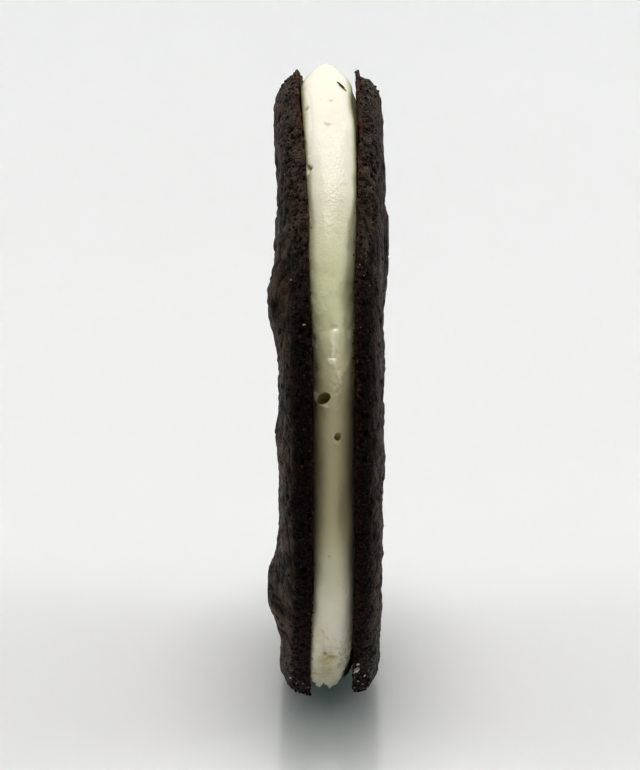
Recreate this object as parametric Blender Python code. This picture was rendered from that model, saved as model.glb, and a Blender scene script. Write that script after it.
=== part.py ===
# Chocolate sandwich cookie, standing on its rim.
#
# Two round cookies, baked flat on one side and lumpy on the other, are put
# together flat sides in, with a thick disc of cream between them. The discs
# stand in the YZ plane with their axis along X, and the floor is z = 0.
# Sizes are in metres.

import math

import bmesh
import bpy
from mathutils import Vector, noise

MM = 0.001

# ---------------------------------------------------------------- sizes

RADIUS = 45.0 * MM          # of the whole, from its middle to its rim
REST_CUT = 0.5 * MM         # depth of the flat spot that the rim stands on
CLEARANCE = 0.3 * MM        # between the cream and each cookie
COLUMNS = 80                # steps round the discs

# The rim turns over into the lumpy side along a quarter of a superellipse.
# It slopes and turns more at the top, where the dough spread thinner.
SHOULDER_BOTTOM = 6.0 * MM  # how far in from the rim the turn ends
SHOULDER_POWER = 2.6        # 2 is a plain quarter round, more is squarer
SHOULDER_STEPS = 6
FACE_RINGS = 10             # rings from the shoulder to the middle
FLAT_RINGS = (0.40, 0.75, 0.93)

# The flat side ends in a thin baked foot that stands proud of the rim.
FOOT_THICK = 0.45 * MM
FOOT_FROM, FOOT_FULL = 0.80, 0.98   # heights it grows between, in radii

# The lumpy side's relief fades out down the rim, over these shares of the
# cookie's thickness.
RELIEF_FROM, RELIEF_FULL = 0.55, 1.0

# Each cookie bows away from the cream towards the top, and a little below.
BOW_START = 0.30            # height, as a share of the radius
FOOT_BOW_POWER = 4

# Unevenness that every handmade cookie has.
OUTLINE_WAVES = ((3, 0.16 * MM, 0.0), (4, 0.12 * MM, 1.6), (5, 0.10 * MM, 3.1))
LUMP_SPACING = 8.0 * MM
LUMP_HEIGHT = 0.22 * MM
MOUND_POWER = 2.4           # 2 is a bell, more has a flatter top


# Mounds over the chunks in the dough: place across (y) and up (z) from the
# middle of the disc, height and half width, all in millimetres.
LEFT_COOKIE = {
    "name": "left_cookie",
    "side": -1,
    "radius": 44.83 * MM,
    "slip": -0.27 * MM,
    "flat_side": 2.45 * MM,
    "thickness": 4.25 * MM,
    "dome": 0.45 * MM,
    "shoulder_top": 7.5 * MM,
    "rim_drop_top": 1.2 * MM,
    "rim_drop_bottom": 0.5 * MM,
    "foot_top": 0.45 * MM,
    "top_bow": 2.15 * MM,
    "bottom_bow": 0.80 * MM,
    "lump_seed": 3.0,
    "mounds": (
        (-31.5, 18.5, 1.90, 5.2),
        (-20.0, 34.0, -0.35, 5.0),
        (-29.5, -22.0, 2.05, 5.2),
        (-32.5, 0.5, 0.55, 4.4),
        (14.0, 17.5, 1.35, 6.0),
        (-6.0, 4.5, 0.45, 5.5),
        (27.0, -7.0, 0.95, 5.5),
        (11.0, -27.0, 0.80, 5.0),
        (31.0, 19.0, 0.60, 4.6),
        (-12.0, -16.0, 0.35, 5.0),
        (2.0, 36.0, 0.30, 4.2),
    ),
}
RIGHT_COOKIE = {
    "name": "right_cookie",
    "side": 1,
    "radius": 44.40 * MM,
    "slip": -0.30 * MM,
    "flat_side": 3.10 * MM,
    "thickness": 3.55 * MM,
    "dome": 0.45 * MM,
    "shoulder_top": 9.0 * MM,
    "rim_drop_top": 1.0 * MM,
    "rim_drop_bottom": 0.4 * MM,
    "foot_top": 0.90 * MM,
    "top_bow": 1.00 * MM,
    "bottom_bow": 0.15 * MM,
    "lump_seed": 17.0,
    "mounds": (
        (6.0, 20.0, 1.25, 6.5),
        (10.0, 11.0, 0.75, 6.0),
        (-35.0, -2.0, 0.35, 5.0),
        (-19.0, 33.0, 0.35, 4.5),
        (27.0, -12.0, 0.60, 5.5),
        (-9.0, -21.0, 0.35, 5.5),
        (12.0, -30.0, 0.45, 5.0),
        (31.0, 20.0, 0.55, 4.8),
        (-20.0, 8.0, 0.30, 5.0),
    ),
}

# The cream: how far in from the rim it meets the cookies, and how far its
# crown stands out from there, at the top, half way up and at the bottom.
# It stands proud at the top and is sunk between the cookies half way up.
CREAM_INSET = {"top": 3.0 * MM, "middle": 3.6 * MM, "bottom": 1.9 * MM}
CREAM_CROWN = {"top": 3.75 * MM, "middle": 2.3 * MM, "bottom": 0.55 * MM}
CREAM_PEAK_POWER = {"top": 1.15, "middle": 2.2, "bottom": 2.2}
CREAM_SIDE_POWER = 0.8      # 1 is a plain curve, less has steeper sides
CREAM_TOP_FROM, CREAM_BOTTOM_FROM = 0.30, 0.45  # heights the changes start
CREAM_CROWN_STEPS = 8
CREAM_FLAT_RINGS = (0.45, 0.80)
CREAM_WAVES = ((3, 0.16 * MM, 0.4), (4, 0.12 * MM, 1.9), (7, 0.08 * MM, 3.3))

SHARP_EDGE = math.radians(50.0)
COOKIE_COLOUR = (0.024, 0.012, 0.009, 1.0)
CREAM_COLOUR = (0.887, 0.847, 0.716, 1.0)


# ------------------------------------------------------------- helpers

def smooth_step(low, high, value):
    """0 below low, 1 above high, and a smooth rise between them."""
    share = min(max((value - low) / (high - low), 0.0), 1.0)
    return share * share * (3.0 - 2.0 * share)


def waves(angle, table):
    """Sum of a few waves round the disc: (count, height, phase) each."""
    return sum(height * math.cos(count * angle + phase)
               for count, height, phase in table)


def by_height(values, up):
    """Blend the cream's value at the top, middle and bottom of the disc."""
    to_top = smooth_step(CREAM_TOP_FROM, 1.0, up)
    to_bottom = smooth_step(CREAM_BOTTOM_FROM, 1.0, -up)
    return (values["middle"]
            + (values["top"] - values["middle"]) * to_top
            + (values["bottom"] - values["middle"]) * to_bottom)


def ring_angles():
    return [2.0 * math.pi * column / COLUMNS for column in range(COLUMNS)]


def bow(cookie, z):
    """How far a cookie bends away from the cream at height z."""
    up = z / RADIUS
    rise = max(up - BOW_START, 0.0) / (1.0 - BOW_START)
    fall = max(-up, 0.0)
    return (cookie["top_bow"] * rise ** 2
            + cookie["bottom_bow"] * fall ** FOOT_BOW_POWER)


def flat_side(cookie, z):
    """Distance from the middle plane to the cookie's flat side."""
    return cookie["flat_side"] + bow(cookie, z)


# ------------------------------------------------------------- cookies

def edge_radius(cookie, angle):
    """Radius of the flat side's edge, out of true as handmade ones are."""
    return cookie["radius"] + waves(angle, OUTLINE_WAVES)


def between(bottom, top, angle):
    """Blend a value from the bottom of the disc to its top."""
    return bottom + (top - bottom) * (0.5 + 0.5 * math.sin(angle))


def rim_drop(cookie, angle):
    """How far the rim slopes in between the flat side and the shoulder."""
    return between(cookie["rim_drop_bottom"], cookie["rim_drop_top"], angle)


def shoulder(cookie, angle):
    """How far in from the rim its turn ends."""
    return between(SHOULDER_BOTTOM, cookie["shoulder_top"], angle)


def foot(cookie, angle):
    """How far the thin foot stands out: most at the top."""
    return cookie["foot_top"] * smooth_step(FOOT_FROM, FOOT_FULL, math.sin(angle))


def lumps(cookie, y, z):
    """Mounds over the chunks, with gentle unevenness between them."""
    total = 0.0
    for mound_y, mound_z, height, spread in cookie["mounds"]:
        away = math.hypot(y / MM - mound_y, z / MM - mound_z) / spread
        total += height * MM * math.exp(-away ** MOUND_POWER)
    place = Vector((y / LUMP_SPACING, z / LUMP_SPACING, cookie["lump_seed"]))
    return total + LUMP_HEIGHT * noise.noise(place)


def cookie_rings(cookie):
    """Rings of points from the middle of the flat side, out over the rim
    and in to the middle of the lumpy side. Each ring holds one point for
    each column, and the first and last rings are single points."""
    side = cookie["side"]
    thickness = cookie["thickness"]

    def point(angle, radius, height, relief):
        y = radius * math.cos(angle)
        z = radius * math.sin(angle) + cookie["slip"]
        raised = relief * lumps(cookie, y, z)
        x = side * (flat_side(cookie, z) + height + raised)
        return Vector((x, y, z))

    angles = ring_angles()
    edges = [edge_radius(cookie, angle) for angle in angles]
    feet = [edge + foot(cookie, angle) for edge, angle in zip(edges, angles)]
    drops = [rim_drop(cookie, angle) for angle in angles]
    turns = [shoulder(cookie, angle) for angle in angles]

    def ring(radii, height, relief):
        return [point(angle, radius, height, relief)
                for angle, radius in zip(angles, radii)]

    rings = [[point(0.0, 0.0, 0.0, 0.0)]]
    for share in FLAT_RINGS:
        rings.append(ring([share * edge for edge in edges], 0.0, 0.0))
    rings.append(ring(feet, 0.0, 0.0))
    rings.append(ring(feet, FOOT_THICK, 0.0))

    power = 2.0 / SHOULDER_POWER
    for step in range(1, SHOULDER_STEPS + 1):
        turn = 0.5 * math.pi * step / SHOULDER_STEPS
        across = math.sin(turn) ** power
        inset = 1.0 - max(math.cos(turn), 0.0) ** power
        height = FOOT_THICK + (thickness - FOOT_THICK) * across
        relief = smooth_step(RELIEF_FROM, RELIEF_FULL, across)
        radii = [edge - inset * turn_width - across * drop
                 for edge, turn_width, drop in zip(edges, turns, drops)]
        rings.append(ring(radii, height, relief))

    for step in range(1, FACE_RINGS):
        share = 1.0 - step / FACE_RINGS
        height = thickness + cookie["dome"] * (1.0 - share ** 2)
        radii = [share * (edge - turn_width - drop)
                 for edge, turn_width, drop in zip(edges, turns, drops)]
        rings.append(ring(radii, height, 1.0))
    rings.append([point(0.0, 0.0, thickness + cookie["dome"], 1.0)])
    return rings


# --------------------------------------------------------------- cream

def cream_rings():
    """Rings from the middle of the cream's left side, over its crown and
    in to the middle of its right side."""

    def point(angle, radius, across):
        y = radius * math.cos(angle)
        z = radius * math.sin(angle)
        left = -flat_side(LEFT_COOKIE, z) + CLEARANCE
        right = flat_side(RIGHT_COOKIE, z) - CLEARANCE
        x = left + (right - left) * (0.5 + 0.5 * across)
        return Vector((x, y, z))

    def contact(angle):
        inset = by_height(CREAM_INSET, math.sin(angle))
        return RADIUS - inset + waves(angle, CREAM_WAVES)

    def crown(angle, across):
        up = math.sin(angle)
        power = by_height(CREAM_PEAK_POWER, up)
        rise = (1.0 - abs(across) ** power) ** CREAM_SIDE_POWER
        return contact(angle) + by_height(CREAM_CROWN, up) * rise

    angles = ring_angles()
    rings = [[point(0.0, 0.0, -1.0)]]
    for share in CREAM_FLAT_RINGS:
        rings.append([point(a, share * contact(a), -1.0) for a in angles])
    for step in range(CREAM_CROWN_STEPS + 1):
        across = -math.cos(math.pi * step / CREAM_CROWN_STEPS)
        rings.append([point(a, crown(a, across), across) for a in angles])
    for share in reversed(CREAM_FLAT_RINGS):
        rings.append([point(a, share * contact(a), 1.0) for a in angles])
    rings.append([point(0.0, 0.0, 1.0)])
    return rings


# -------------------------------------------------------------- solids

def material(name, colour, roughness):
    made = bpy.data.materials.new(name)
    made.use_nodes = True
    shader = made.node_tree.nodes["Principled BSDF"]
    shader.inputs["Base Color"].default_value = colour
    shader.inputs["Roughness"].default_value = roughness
    shader.inputs["Metallic"].default_value = 0.0
    made.diffuse_color = colour
    return made


def closed_mesh(rings, standing_height, cut):
    """Join rings into a closed body, stand it on the floor and, where it
    reaches below, cut it off flat."""
    mesh = bmesh.new()
    lift = Vector((0.0, 0.0, standing_height))
    rows = [[mesh.verts.new(place + lift) for place in ring] for ring in rings]
    for lower, upper in zip(rows, rows[1:]):
        for column in range(COLUMNS):
            following = (column + 1) % COLUMNS
            corners = []
            for row, order in ((lower, (column, following)),
                               (upper, (following, column))):
                corners += row if len(row) == 1 else [row[i] for i in order]
            mesh.faces.new(corners)
    if cut:
        everything = mesh.verts[:] + mesh.edges[:] + mesh.faces[:]
        sliced = bmesh.ops.bisect_plane(
            mesh, geom=everything, dist=1e-6, clear_inner=True,
            plane_co=(0.0, 0.0, 0.0), plane_no=(0.0, 0.0, 1.0))
        border = [item for item in sliced["geom_cut"]
                  if isinstance(item, bmesh.types.BMEdge)]
        bmesh.ops.contextual_create(mesh, geom=border)
    bmesh.ops.recalc_face_normals(mesh, faces=mesh.faces)
    return mesh


def solid(name, rings, finish, cut):
    body = closed_mesh(rings, RADIUS - REST_CUT, cut)
    data = bpy.data.meshes.new(name)
    body.to_mesh(data)
    body.free()
    data.shade_smooth()
    data.set_sharp_from_angle(angle=SHARP_EDGE)
    data.materials.append(finish)
    made = bpy.data.objects.new(name, data)
    bpy.context.scene.collection.objects.link(made)
    return made


def centre_over_origin(pieces):
    """Slide the pieces level so the origin is under the middle of the box
    round them all, and at floor level."""
    places = [vertex.co for piece in pieces for vertex in piece.data.vertices]
    middle_x = 0.5 * (min(p.x for p in places) + max(p.x for p in places))
    middle_y = 0.5 * (min(p.y for p in places) + max(p.y for p in places))
    shift = Vector((-middle_x, -middle_y, 0.0))
    for piece in pieces:
        for vertex in piece.data.vertices:
            vertex.co += shift


def main():
    for old in list(bpy.data.objects):
        bpy.data.objects.remove(old, do_unlink=True)
    baked = material("dark_chocolate_cookie", COOKIE_COLOUR, 0.62)
    baked_right = baked.copy()
    whipped = material("ivory_cream", CREAM_COLOUR, 0.38)
    pieces = [
        solid(LEFT_COOKIE["name"], cookie_rings(LEFT_COOKIE), baked, True),
        solid("cream_filling", cream_rings(), whipped, False),
        solid(RIGHT_COOKIE["name"], cookie_rings(RIGHT_COOKIE), baked_right,
              True),
    ]
    centre_over_origin(pieces)


main()
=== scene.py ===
# %% [markdown]
# # A chocolate sandwich cookie, standing on its rim
#
# Two thin cookies of dark cocoa dough are baked flat on the tray side and
# lumpy on top. Put together flat sides in, they hold a thick disc of ivory
# butter cream. This lesson dresses the plain solids of the frame: each piece
# is built again from the same few sizes, finely enough to carry wrinkles,
# pores, cracks, bubbles and crumbs, and then gets its finish.

# %% Load the frame
import math

import bmesh
import bpy
import numpy as np
from mathutils import Euler, Matrix, Vector, noise


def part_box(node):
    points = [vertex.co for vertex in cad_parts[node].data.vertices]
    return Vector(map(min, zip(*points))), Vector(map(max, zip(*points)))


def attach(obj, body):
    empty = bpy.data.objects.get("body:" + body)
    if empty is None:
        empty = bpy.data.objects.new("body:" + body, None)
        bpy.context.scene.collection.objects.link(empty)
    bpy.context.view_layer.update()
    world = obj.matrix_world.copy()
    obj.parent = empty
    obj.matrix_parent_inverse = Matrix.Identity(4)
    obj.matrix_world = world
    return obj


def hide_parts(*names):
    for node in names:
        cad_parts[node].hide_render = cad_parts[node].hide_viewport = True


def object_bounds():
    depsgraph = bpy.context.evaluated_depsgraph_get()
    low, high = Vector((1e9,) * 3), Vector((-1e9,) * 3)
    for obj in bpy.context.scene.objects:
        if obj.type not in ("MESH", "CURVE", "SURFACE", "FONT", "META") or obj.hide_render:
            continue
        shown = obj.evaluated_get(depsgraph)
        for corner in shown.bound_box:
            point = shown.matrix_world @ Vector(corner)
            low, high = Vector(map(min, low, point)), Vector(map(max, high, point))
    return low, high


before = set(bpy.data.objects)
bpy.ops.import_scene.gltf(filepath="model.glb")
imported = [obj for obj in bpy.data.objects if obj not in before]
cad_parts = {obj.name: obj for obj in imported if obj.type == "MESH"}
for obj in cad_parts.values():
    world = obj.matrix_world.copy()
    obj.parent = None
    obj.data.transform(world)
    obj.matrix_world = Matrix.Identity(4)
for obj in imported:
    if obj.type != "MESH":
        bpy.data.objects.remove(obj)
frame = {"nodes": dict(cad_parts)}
frame_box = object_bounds()
print("nodes in the frame:", ", ".join(frame["nodes"]))
MM = 0.001
left_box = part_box("left_cookie")
right_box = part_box("right_cookie")
cream_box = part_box("cream_filling")
print("the whole measures, in mm:", [round(v / MM, 1) for v in frame_box[1] - frame_box[0]])

# %% [markdown]
# ## The camera
#
# A disc seen exactly edge-on shows its rim only. The camera stands ten radii
# away, which keeps the near rim about a tenth larger than the middle, and
# looks down a little, so the floor shows in front and the bottom of the rim
# turns under. It is placed first, because the floor and the lights follow it.

# %% Camera
RADIUS = 45.0               # of the whole, in mm, as every size below
REST_CUT = 0.5              # the flat spot's depth
MIDDLE_Z = RADIUS - REST_CUT
CAMERA_ELEVATION = math.radians(13.0)
CAMERA_DISTANCE = 10.0 * RADIUS
FRAME_HEIGHT = 111.75       # what the camera sees at the disc, top to bottom
AIM = (-1.45, 0.0, MIDDLE_Z - 0.55)
SENSOR = 36.0


def make_camera():
    data = bpy.data.cameras.new("camera")
    data.sensor_width = SENSOR
    data.lens = SENSOR * CAMERA_DISTANCE / FRAME_HEIGHT
    data.clip_start, data.clip_end = 0.05, 50.0
    camera = bpy.data.objects.new("camera", data)
    bpy.context.scene.collection.objects.link(camera)
    back = Vector((0.0, -math.cos(CAMERA_ELEVATION), math.sin(CAMERA_ELEVATION)))
    camera.location = (Vector((0.0, 0.0, MIDDLE_Z)) + back * CAMERA_DISTANCE) * MM
    gaze = Vector(AIM) * MM - camera.location
    camera.rotation_euler = gaze.to_track_quat("-Z", "Y").to_euler()
    bpy.context.scene.camera = camera
    return camera


camera = make_camera()
print("lens in mm:", round(camera.data.lens, 1))

# %% [markdown]
# ## Helpers for shapes
#
# Every surface here is a grid: one row of points after another across the
# section, and one column after another round the disc. Numpy works on whole
# rows at once, and two kinds of noise roughen them: smooth noise for lumps
# and grain, and cell noise, whose cell centres make pores and whose borders
# make cracks. A fixed seed shifts each noise to a place of its own.

# %% Helpers for shapes
SEED_STEP = np.array((17.31, 9.73, 23.57))


def smooth_step(low, high, value):
    """0 below low, 1 above high, and a smooth rise between them."""
    share = np.clip((value - low) / (high - low), 0.0, 1.0)
    return share * share * (3.0 - 2.0 * share)


def smooth_noise(places, spacing, seed):
    """A value of about -1 to 1 for each place; its bumps lie `spacing` mm apart."""
    spread = places / spacing + seed * SEED_STEP
    return np.array([noise.noise(place) for place in spread.tolist()])


def cell_noise(places, spacing, seed):
    """Distances to the nearest and the next nearest cell centre, in spacings."""
    spread = places / spacing + seed * SEED_STEP
    found = np.array([noise.voronoi(place)[0][:2] for place in spread.tolist()])
    return found[:, 0], found[:, 1]


def waves(angle, table):
    """Sum of a few waves round the disc: (count, height, phase) each."""
    return sum(height * np.cos(count * angle + phase) for count, height, phase in table)


def columns_round(near_count, far_count):
    """Angles of the columns round the disc, closer together on the near half."""
    far_above = np.linspace(180.0, 100.0, far_count // 2, endpoint=False)
    near_half = np.linspace(100.0, -80.0, near_count, endpoint=False)
    far_below = np.linspace(-80.0, -180.0, far_count - far_count // 2, endpoint=False)
    return np.radians(180.0 - np.concatenate([far_above, near_half, far_below]))


def even_steps(points, count):
    """`count` points at even distances along a line given as dense points."""
    lengths = np.hypot(*np.diff(points, axis=0).T)
    run = np.concatenate(([0.0], np.cumsum(lengths)))
    wanted = np.linspace(0.0, run[-1], count)
    return np.stack([np.interp(wanted, run, column) for column in points.T], axis=1)


# %% [markdown]
# A grid becomes a mesh by joining each row to the next with quads, and the
# first and last rows to a single point each. The masks that the materials
# need are stored as attributes, one number for each vertex.

# %% From grid to mesh
def grid_mesh(name, rows, masks):
    """A closed mesh from an array of rows, columns and xyz in mm."""
    row_count, columns = rows.shape[:2]
    ends = np.stack([rows[0].mean(axis=0), rows[-1].mean(axis=0)])
    places = np.concatenate([rows.reshape(-1, 3), ends]) * MM
    first = row_count * columns
    here = np.arange(columns)
    following = (here + 1) % columns
    faces = []
    for row in range(row_count - 1):
        low, high = row * columns, (row + 1) * columns
        faces += np.stack([low + here, low + following, high + following, high + here], axis=1).tolist()
    top = (row_count - 1) * columns
    faces += np.stack([following, here, np.full(columns, first)], axis=1).tolist()
    faces += np.stack([top + here, top + following, np.full(columns, first + 1)], axis=1).tolist()
    mesh = bpy.data.meshes.new(name)
    mesh.from_pydata(places.tolist(), [], faces)
    mesh.update()
    for mask, values in masks.items():
        whole = np.concatenate([values.reshape(-1), values[0, :1], values[-1, :1]])
        mesh.attributes.new(mask, "FLOAT", "POINT").data.foreach_set("value", whole.astype(np.float32))
    mesh.shade_smooth()
    return mesh


def vertex_places(mesh):
    places = np.empty(len(mesh.vertices) * 3)
    mesh.vertices.foreach_get("co", places)
    return places.reshape(-1, 3)


def vertex_normals(mesh):
    normals = np.empty(len(mesh.vertices) * 3)
    mesh.vertex_normals.foreach_get("vector", normals)
    return normals.reshape(-1, 3)


def keep_in_frame(places):
    """Hold places, in metres, inside the frame's box and on or above the floor."""
    return np.clip(places, np.array(frame_box[0]), np.array(frame_box[1]))


def move_vertices(mesh, places):
    mesh.vertices.foreach_set("co", keep_in_frame(places).reshape(-1))
    mesh.update()


def mask_of(mesh, name):
    values = np.empty(len(mesh.vertices))
    mesh.attributes[name].data.foreach_get("value", values)
    return values


def set_mask(mesh, name, values):
    found = mesh.attributes.get(name) or mesh.attributes.new(name, "FLOAT", "POINT")
    found.data.foreach_set("value", np.asarray(values, dtype=np.float32))


def show(name, mesh):
    """Put a mesh in the scene as an object at the origin."""
    made = bpy.data.objects.new(name, mesh)
    bpy.context.scene.collection.objects.link(made)
    return made


# %% [markdown]
# ## The cookies' sizes
#
# These are the sizes that the solids were made from. A cookie's section
# starts in the middle of the flat side, runs out to a thin baked foot at the
# rim, turns over a quarter of a superellipse and comes back over the lumpy
# side. Mounds stand over the chunks in the dough: place across and up from
# the middle of the disc, height and half width.
#
# The rest is told here alone. Bevels are where the flat side's edge was rubbed
# on the tray: angle, half width in degrees and depth. Curl is how far the thin
# foot leans away from the cream at the top, or towards it below zero. Rust
# says how toasted the edge is, and the value after it how much darker the skin
# is. The seed gives each cookie a relief of its own.

# %% Cookie sizes
NEAR_COLUMNS, FAR_COLUMNS = 490, 200
COLUMNS = NEAR_COLUMNS + FAR_COLUMNS
SHOULDER_BOTTOM = 6.0
SHOULDER_POWER = 2.6
FOOT_THICK = 0.45
FOOT_FROM, FOOT_FULL = 0.80, 0.98
RELIEF_FROM, RELIEF_FULL = 0.55, 1.0
BOW_START = 0.30
FOOT_BOW_POWER = 4
FOOT_WORN = 0.35            # how much the rim lacks before the foot it stands on
OUTLINE_WAVES = ((3, 0.16, 0.0), (4, 0.12, 1.6), (5, 0.10, 3.1))
LUMP_SPACING = 8.0
LUMP_HEIGHT = 0.22
MOUND_POWER = 2.4

LEFT = {
    "name": "left_cookie", "side": -1, "seed": 1, "radius": 44.83, "slip": -0.27,
    "flat_side": 2.45, "thickness": 4.25, "dome": 0.45, "shoulder_top": 7.5,
    "rim_drop_top": 1.2, "rim_drop_bottom": 0.5, "foot_top": 0.45,
    "top_bow": 2.15, "bottom_bow": 0.80, "lump_seed": 3.0,
    "rust": 0.35, "skin_darkness": 0.0, "curl": 0.28,
    "bevels": ((31.0, 11.0, 0.36), (0.0, 22.0, 0.12), (-47.0, 16.0, 0.30), (150.0, 20.0, 0.25)),
    "mounds": (
        (-31.5, 18.5, 1.90, 5.2), (-20.0, 34.0, -0.35, 5.0), (-29.5, -22.0, 2.05, 5.2),
        (-32.5, 0.5, 0.55, 4.4), (14.0, 17.5, 1.35, 6.0), (-6.0, 4.5, 0.45, 5.5),
        (27.0, -7.0, 0.95, 5.5), (11.0, -27.0, 0.80, 5.0), (31.0, 19.0, 0.60, 4.6),
        (-12.0, -16.0, 0.35, 5.0), (2.0, 36.0, 0.30, 4.2),
    ),
}
RIGHT = {
    "name": "right_cookie", "side": 1, "seed": 2, "radius": 44.40, "slip": -0.30,
    "flat_side": 3.10, "thickness": 3.55, "dome": 0.45, "shoulder_top": 9.0,
    "rim_drop_top": 1.0, "rim_drop_bottom": 0.4, "foot_top": 0.90,
    "top_bow": 1.00, "bottom_bow": 0.15, "lump_seed": 17.0,
    "rust": 0.55, "skin_darkness": 1.0, "curl": -0.50,
    "bevels": ((-20.0, 14.0, 0.15), (-140.0, 25.0, 0.25)),
    "mounds": (
        (6.0, 20.0, 1.25, 6.5), (10.0, 11.0, 0.75, 6.0), (-35.0, -2.0, 0.35, 5.0),
        (-19.0, 33.0, 0.35, 4.5), (27.0, -12.0, 0.60, 5.5), (-9.0, -21.0, 0.35, 5.5),
        (12.0, -30.0, 0.45, 5.0), (31.0, 20.0, 0.55, 4.8), (-20.0, 8.0, 0.30, 5.0),
    ),
}
angles = columns_round(NEAR_COLUMNS, FAR_COLUMNS)


def flat_side(cookie, z):
    """Distance from the middle plane to a cookie's flat side at height z."""
    rise = np.maximum(z / RADIUS - BOW_START, 0.0) / (1.0 - BOW_START)
    fall = np.maximum(-z / RADIUS, 0.0)
    return cookie["flat_side"] + cookie["top_bow"] * rise ** 2 + cookie["bottom_bow"] * fall ** FOOT_BOW_POWER


def lumps(cookie, y, z):
    """Mounds over the chunks, with gentle unevenness between them."""
    total = np.zeros_like(y)
    for mound_y, mound_z, height, spread in cookie["mounds"]:
        away = np.hypot(y - mound_y, z - mound_z) / spread
        total += height * np.exp(-away ** MOUND_POWER)
    places = np.stack([y / LUMP_SPACING, z / LUMP_SPACING, np.full_like(y, cookie["lump_seed"])], axis=-1)
    uneven = np.array([noise.noise(place) for place in places.reshape(-1, 3).tolist()])
    return total + LUMP_HEIGHT * uneven.reshape(y.shape)


print("mounds:", len(LEFT["mounds"]), "left and", len(RIGHT["mounds"]), "right")

# %% [markdown]
# The section is sampled finely where the eye rests: about a fifth of a
# millimetre over the foot, the rim and its turn, and half a millimetre on the
# wide lumpy side. The part of the flat side that the cream covers gets only
# a few rows. Each row also says how far round the section it is: -1 on the
# flat side, 0 at its edge, 1 where the turn ends, 2 in the lumpy middle.
# The foot is thinner where its edge was rubbed, and at the top, where it also
# curls.

# %% Cookie surface
FLAT_COVERED = np.array((0.03, 0.3, 0.6, 0.8))
FLAT_OPEN = np.linspace(0.88, 0.995, 10)
FOOT_ROWS = 4
FOOT_ROUNDING = 0.10
FOOT_THINNEST = 0.2
FOOT_THINNED = 0.4          # share of its thickness that the foot loses at the top
WORN_AT, WORN_HALF_WIDTH = -66.0, 15.0     # degrees
CURL_REACH = 0.35           # how far round the section the curl dies away
WALL_ROWS = 50
FACE_ROWS = 72


def turned_section(thickness, turn_width):
    """Even steps over the rim's turn, as shares (inset, across)."""
    power = 2.0 / SHOULDER_POWER
    turn = np.linspace(0.0, 0.5 * math.pi, 400)
    inset = 1.0 - np.maximum(np.cos(turn), 0.0) ** power
    across = np.sin(turn) ** power
    line = even_steps(np.stack([inset * turn_width, across * thickness], axis=1), WALL_ROWS)
    return line / np.array((turn_width, thickness))


def degrees_round(angle):
    """Angle up the near rim: 0 faces the camera, 90 is the top, -90 the bottom."""
    return 180.0 - np.degrees(angle) % 360.0


def rim_place(places):
    """Angle round the near rim in degrees and place across, of places in mm."""
    return degrees_round(np.arctan2(places[:, 2] - MIDDLE_Z, places[:, 1])), places[:, 0]


def bevel(cookie, near):
    """How far the flat side's edge is rubbed away at each place round the rim."""
    total = np.zeros_like(near)
    for middle, half_width, depth in cookie["bevels"]:
        total += depth * np.exp(-((near - middle) / half_width) ** 4)
    return total


def cookie_rows(cookie):
    """Rows of points over the whole cookie, with how far round each lies."""
    near = degrees_round(angles)
    rubbed = bevel(cookie, near)
    up = 0.5 + 0.5 * np.sin(angles)
    worn = FOOT_WORN * np.exp(-((near - WORN_AT) / WORN_HALF_WIDTH) ** 4)
    edge = cookie["radius"] + waves(angles, OUTLINE_WAVES) - worn
    foot = edge + cookie["foot_top"] * smooth_step(FOOT_FROM, FOOT_FULL, np.sin(angles))
    drop = cookie["rim_drop_bottom"] + (cookie["rim_drop_top"] - cookie["rim_drop_bottom"]) * up
    turn = SHOULDER_BOTTOM + (cookie["shoulder_top"] - SHOULDER_BOTTOM) * up
    thickness = cookie["thickness"]
    at_top = smooth_step(60.0, 76.0, near) * smooth_step(115.0, 100.0, near)
    foot_thick = np.maximum(FOOT_THICK * (1.0 - FOOT_THINNED * at_top) - 0.6 * rubbed, FOOT_THINNEST)
    radii, heights, reliefs, rounds = [], [], [], []

    def row(radius, height, relief, round_section):
        radii.append(radius)
        heights.append(np.zeros(COLUMNS) + height)
        reliefs.append(relief)
        rounds.append(round_section)

    for share in np.concatenate([FLAT_COVERED, FLAT_OPEN]):
        row(share * edge, rubbed * smooth_step(0.88, 0.98, share), 0.0, -1.0 + smooth_step(0.9, 1.0, share))
    for step in range(FOOT_ROWS):
        share = step / (FOOT_ROWS - 1)
        height = rubbed + share * foot_thick
        row(foot - FOOT_ROUNDING * (2.0 * share - 1.0) ** 2, height, 0.0, 0.0)
    for inset, across in turned_section(thickness, 7.0)[1:]:
        start = rubbed + foot_thick
        height = start + (thickness - start) * across
        relief = smooth_step(RELIEF_FROM, RELIEF_FULL, across)
        row(edge - inset * turn - across * drop, height, relief, max(across, 0.02))
    for step in range(1, FACE_ROWS):
        share = 1.0 - step / FACE_ROWS
        row(share * (edge - turn - drop), thickness + cookie["dome"] * (1.0 - share ** 2), 1.0, 2.0 - share)

    radii = np.array(radii)
    y = radii * np.cos(angles)
    z = radii * np.sin(angles) + cookie["slip"]
    raised = np.array(reliefs)[:, None] * lumps(cookie, y, z)
    rounds = np.repeat(np.array(rounds)[:, None], COLUMNS, axis=1)
    by_the_edge = np.where(rounds < 0.0, 1.0 + rounds, 1.0 - smooth_step(0.0, CURL_REACH, rounds))
    curled = cookie["curl"] * at_top * by_the_edge
    x = cookie["side"] * (flat_side(cookie, z) + np.array(heights) + raised + curled)
    rows = np.stack([x, y, z + MIDDLE_Z], axis=-1)
    return rows, rounds


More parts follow.
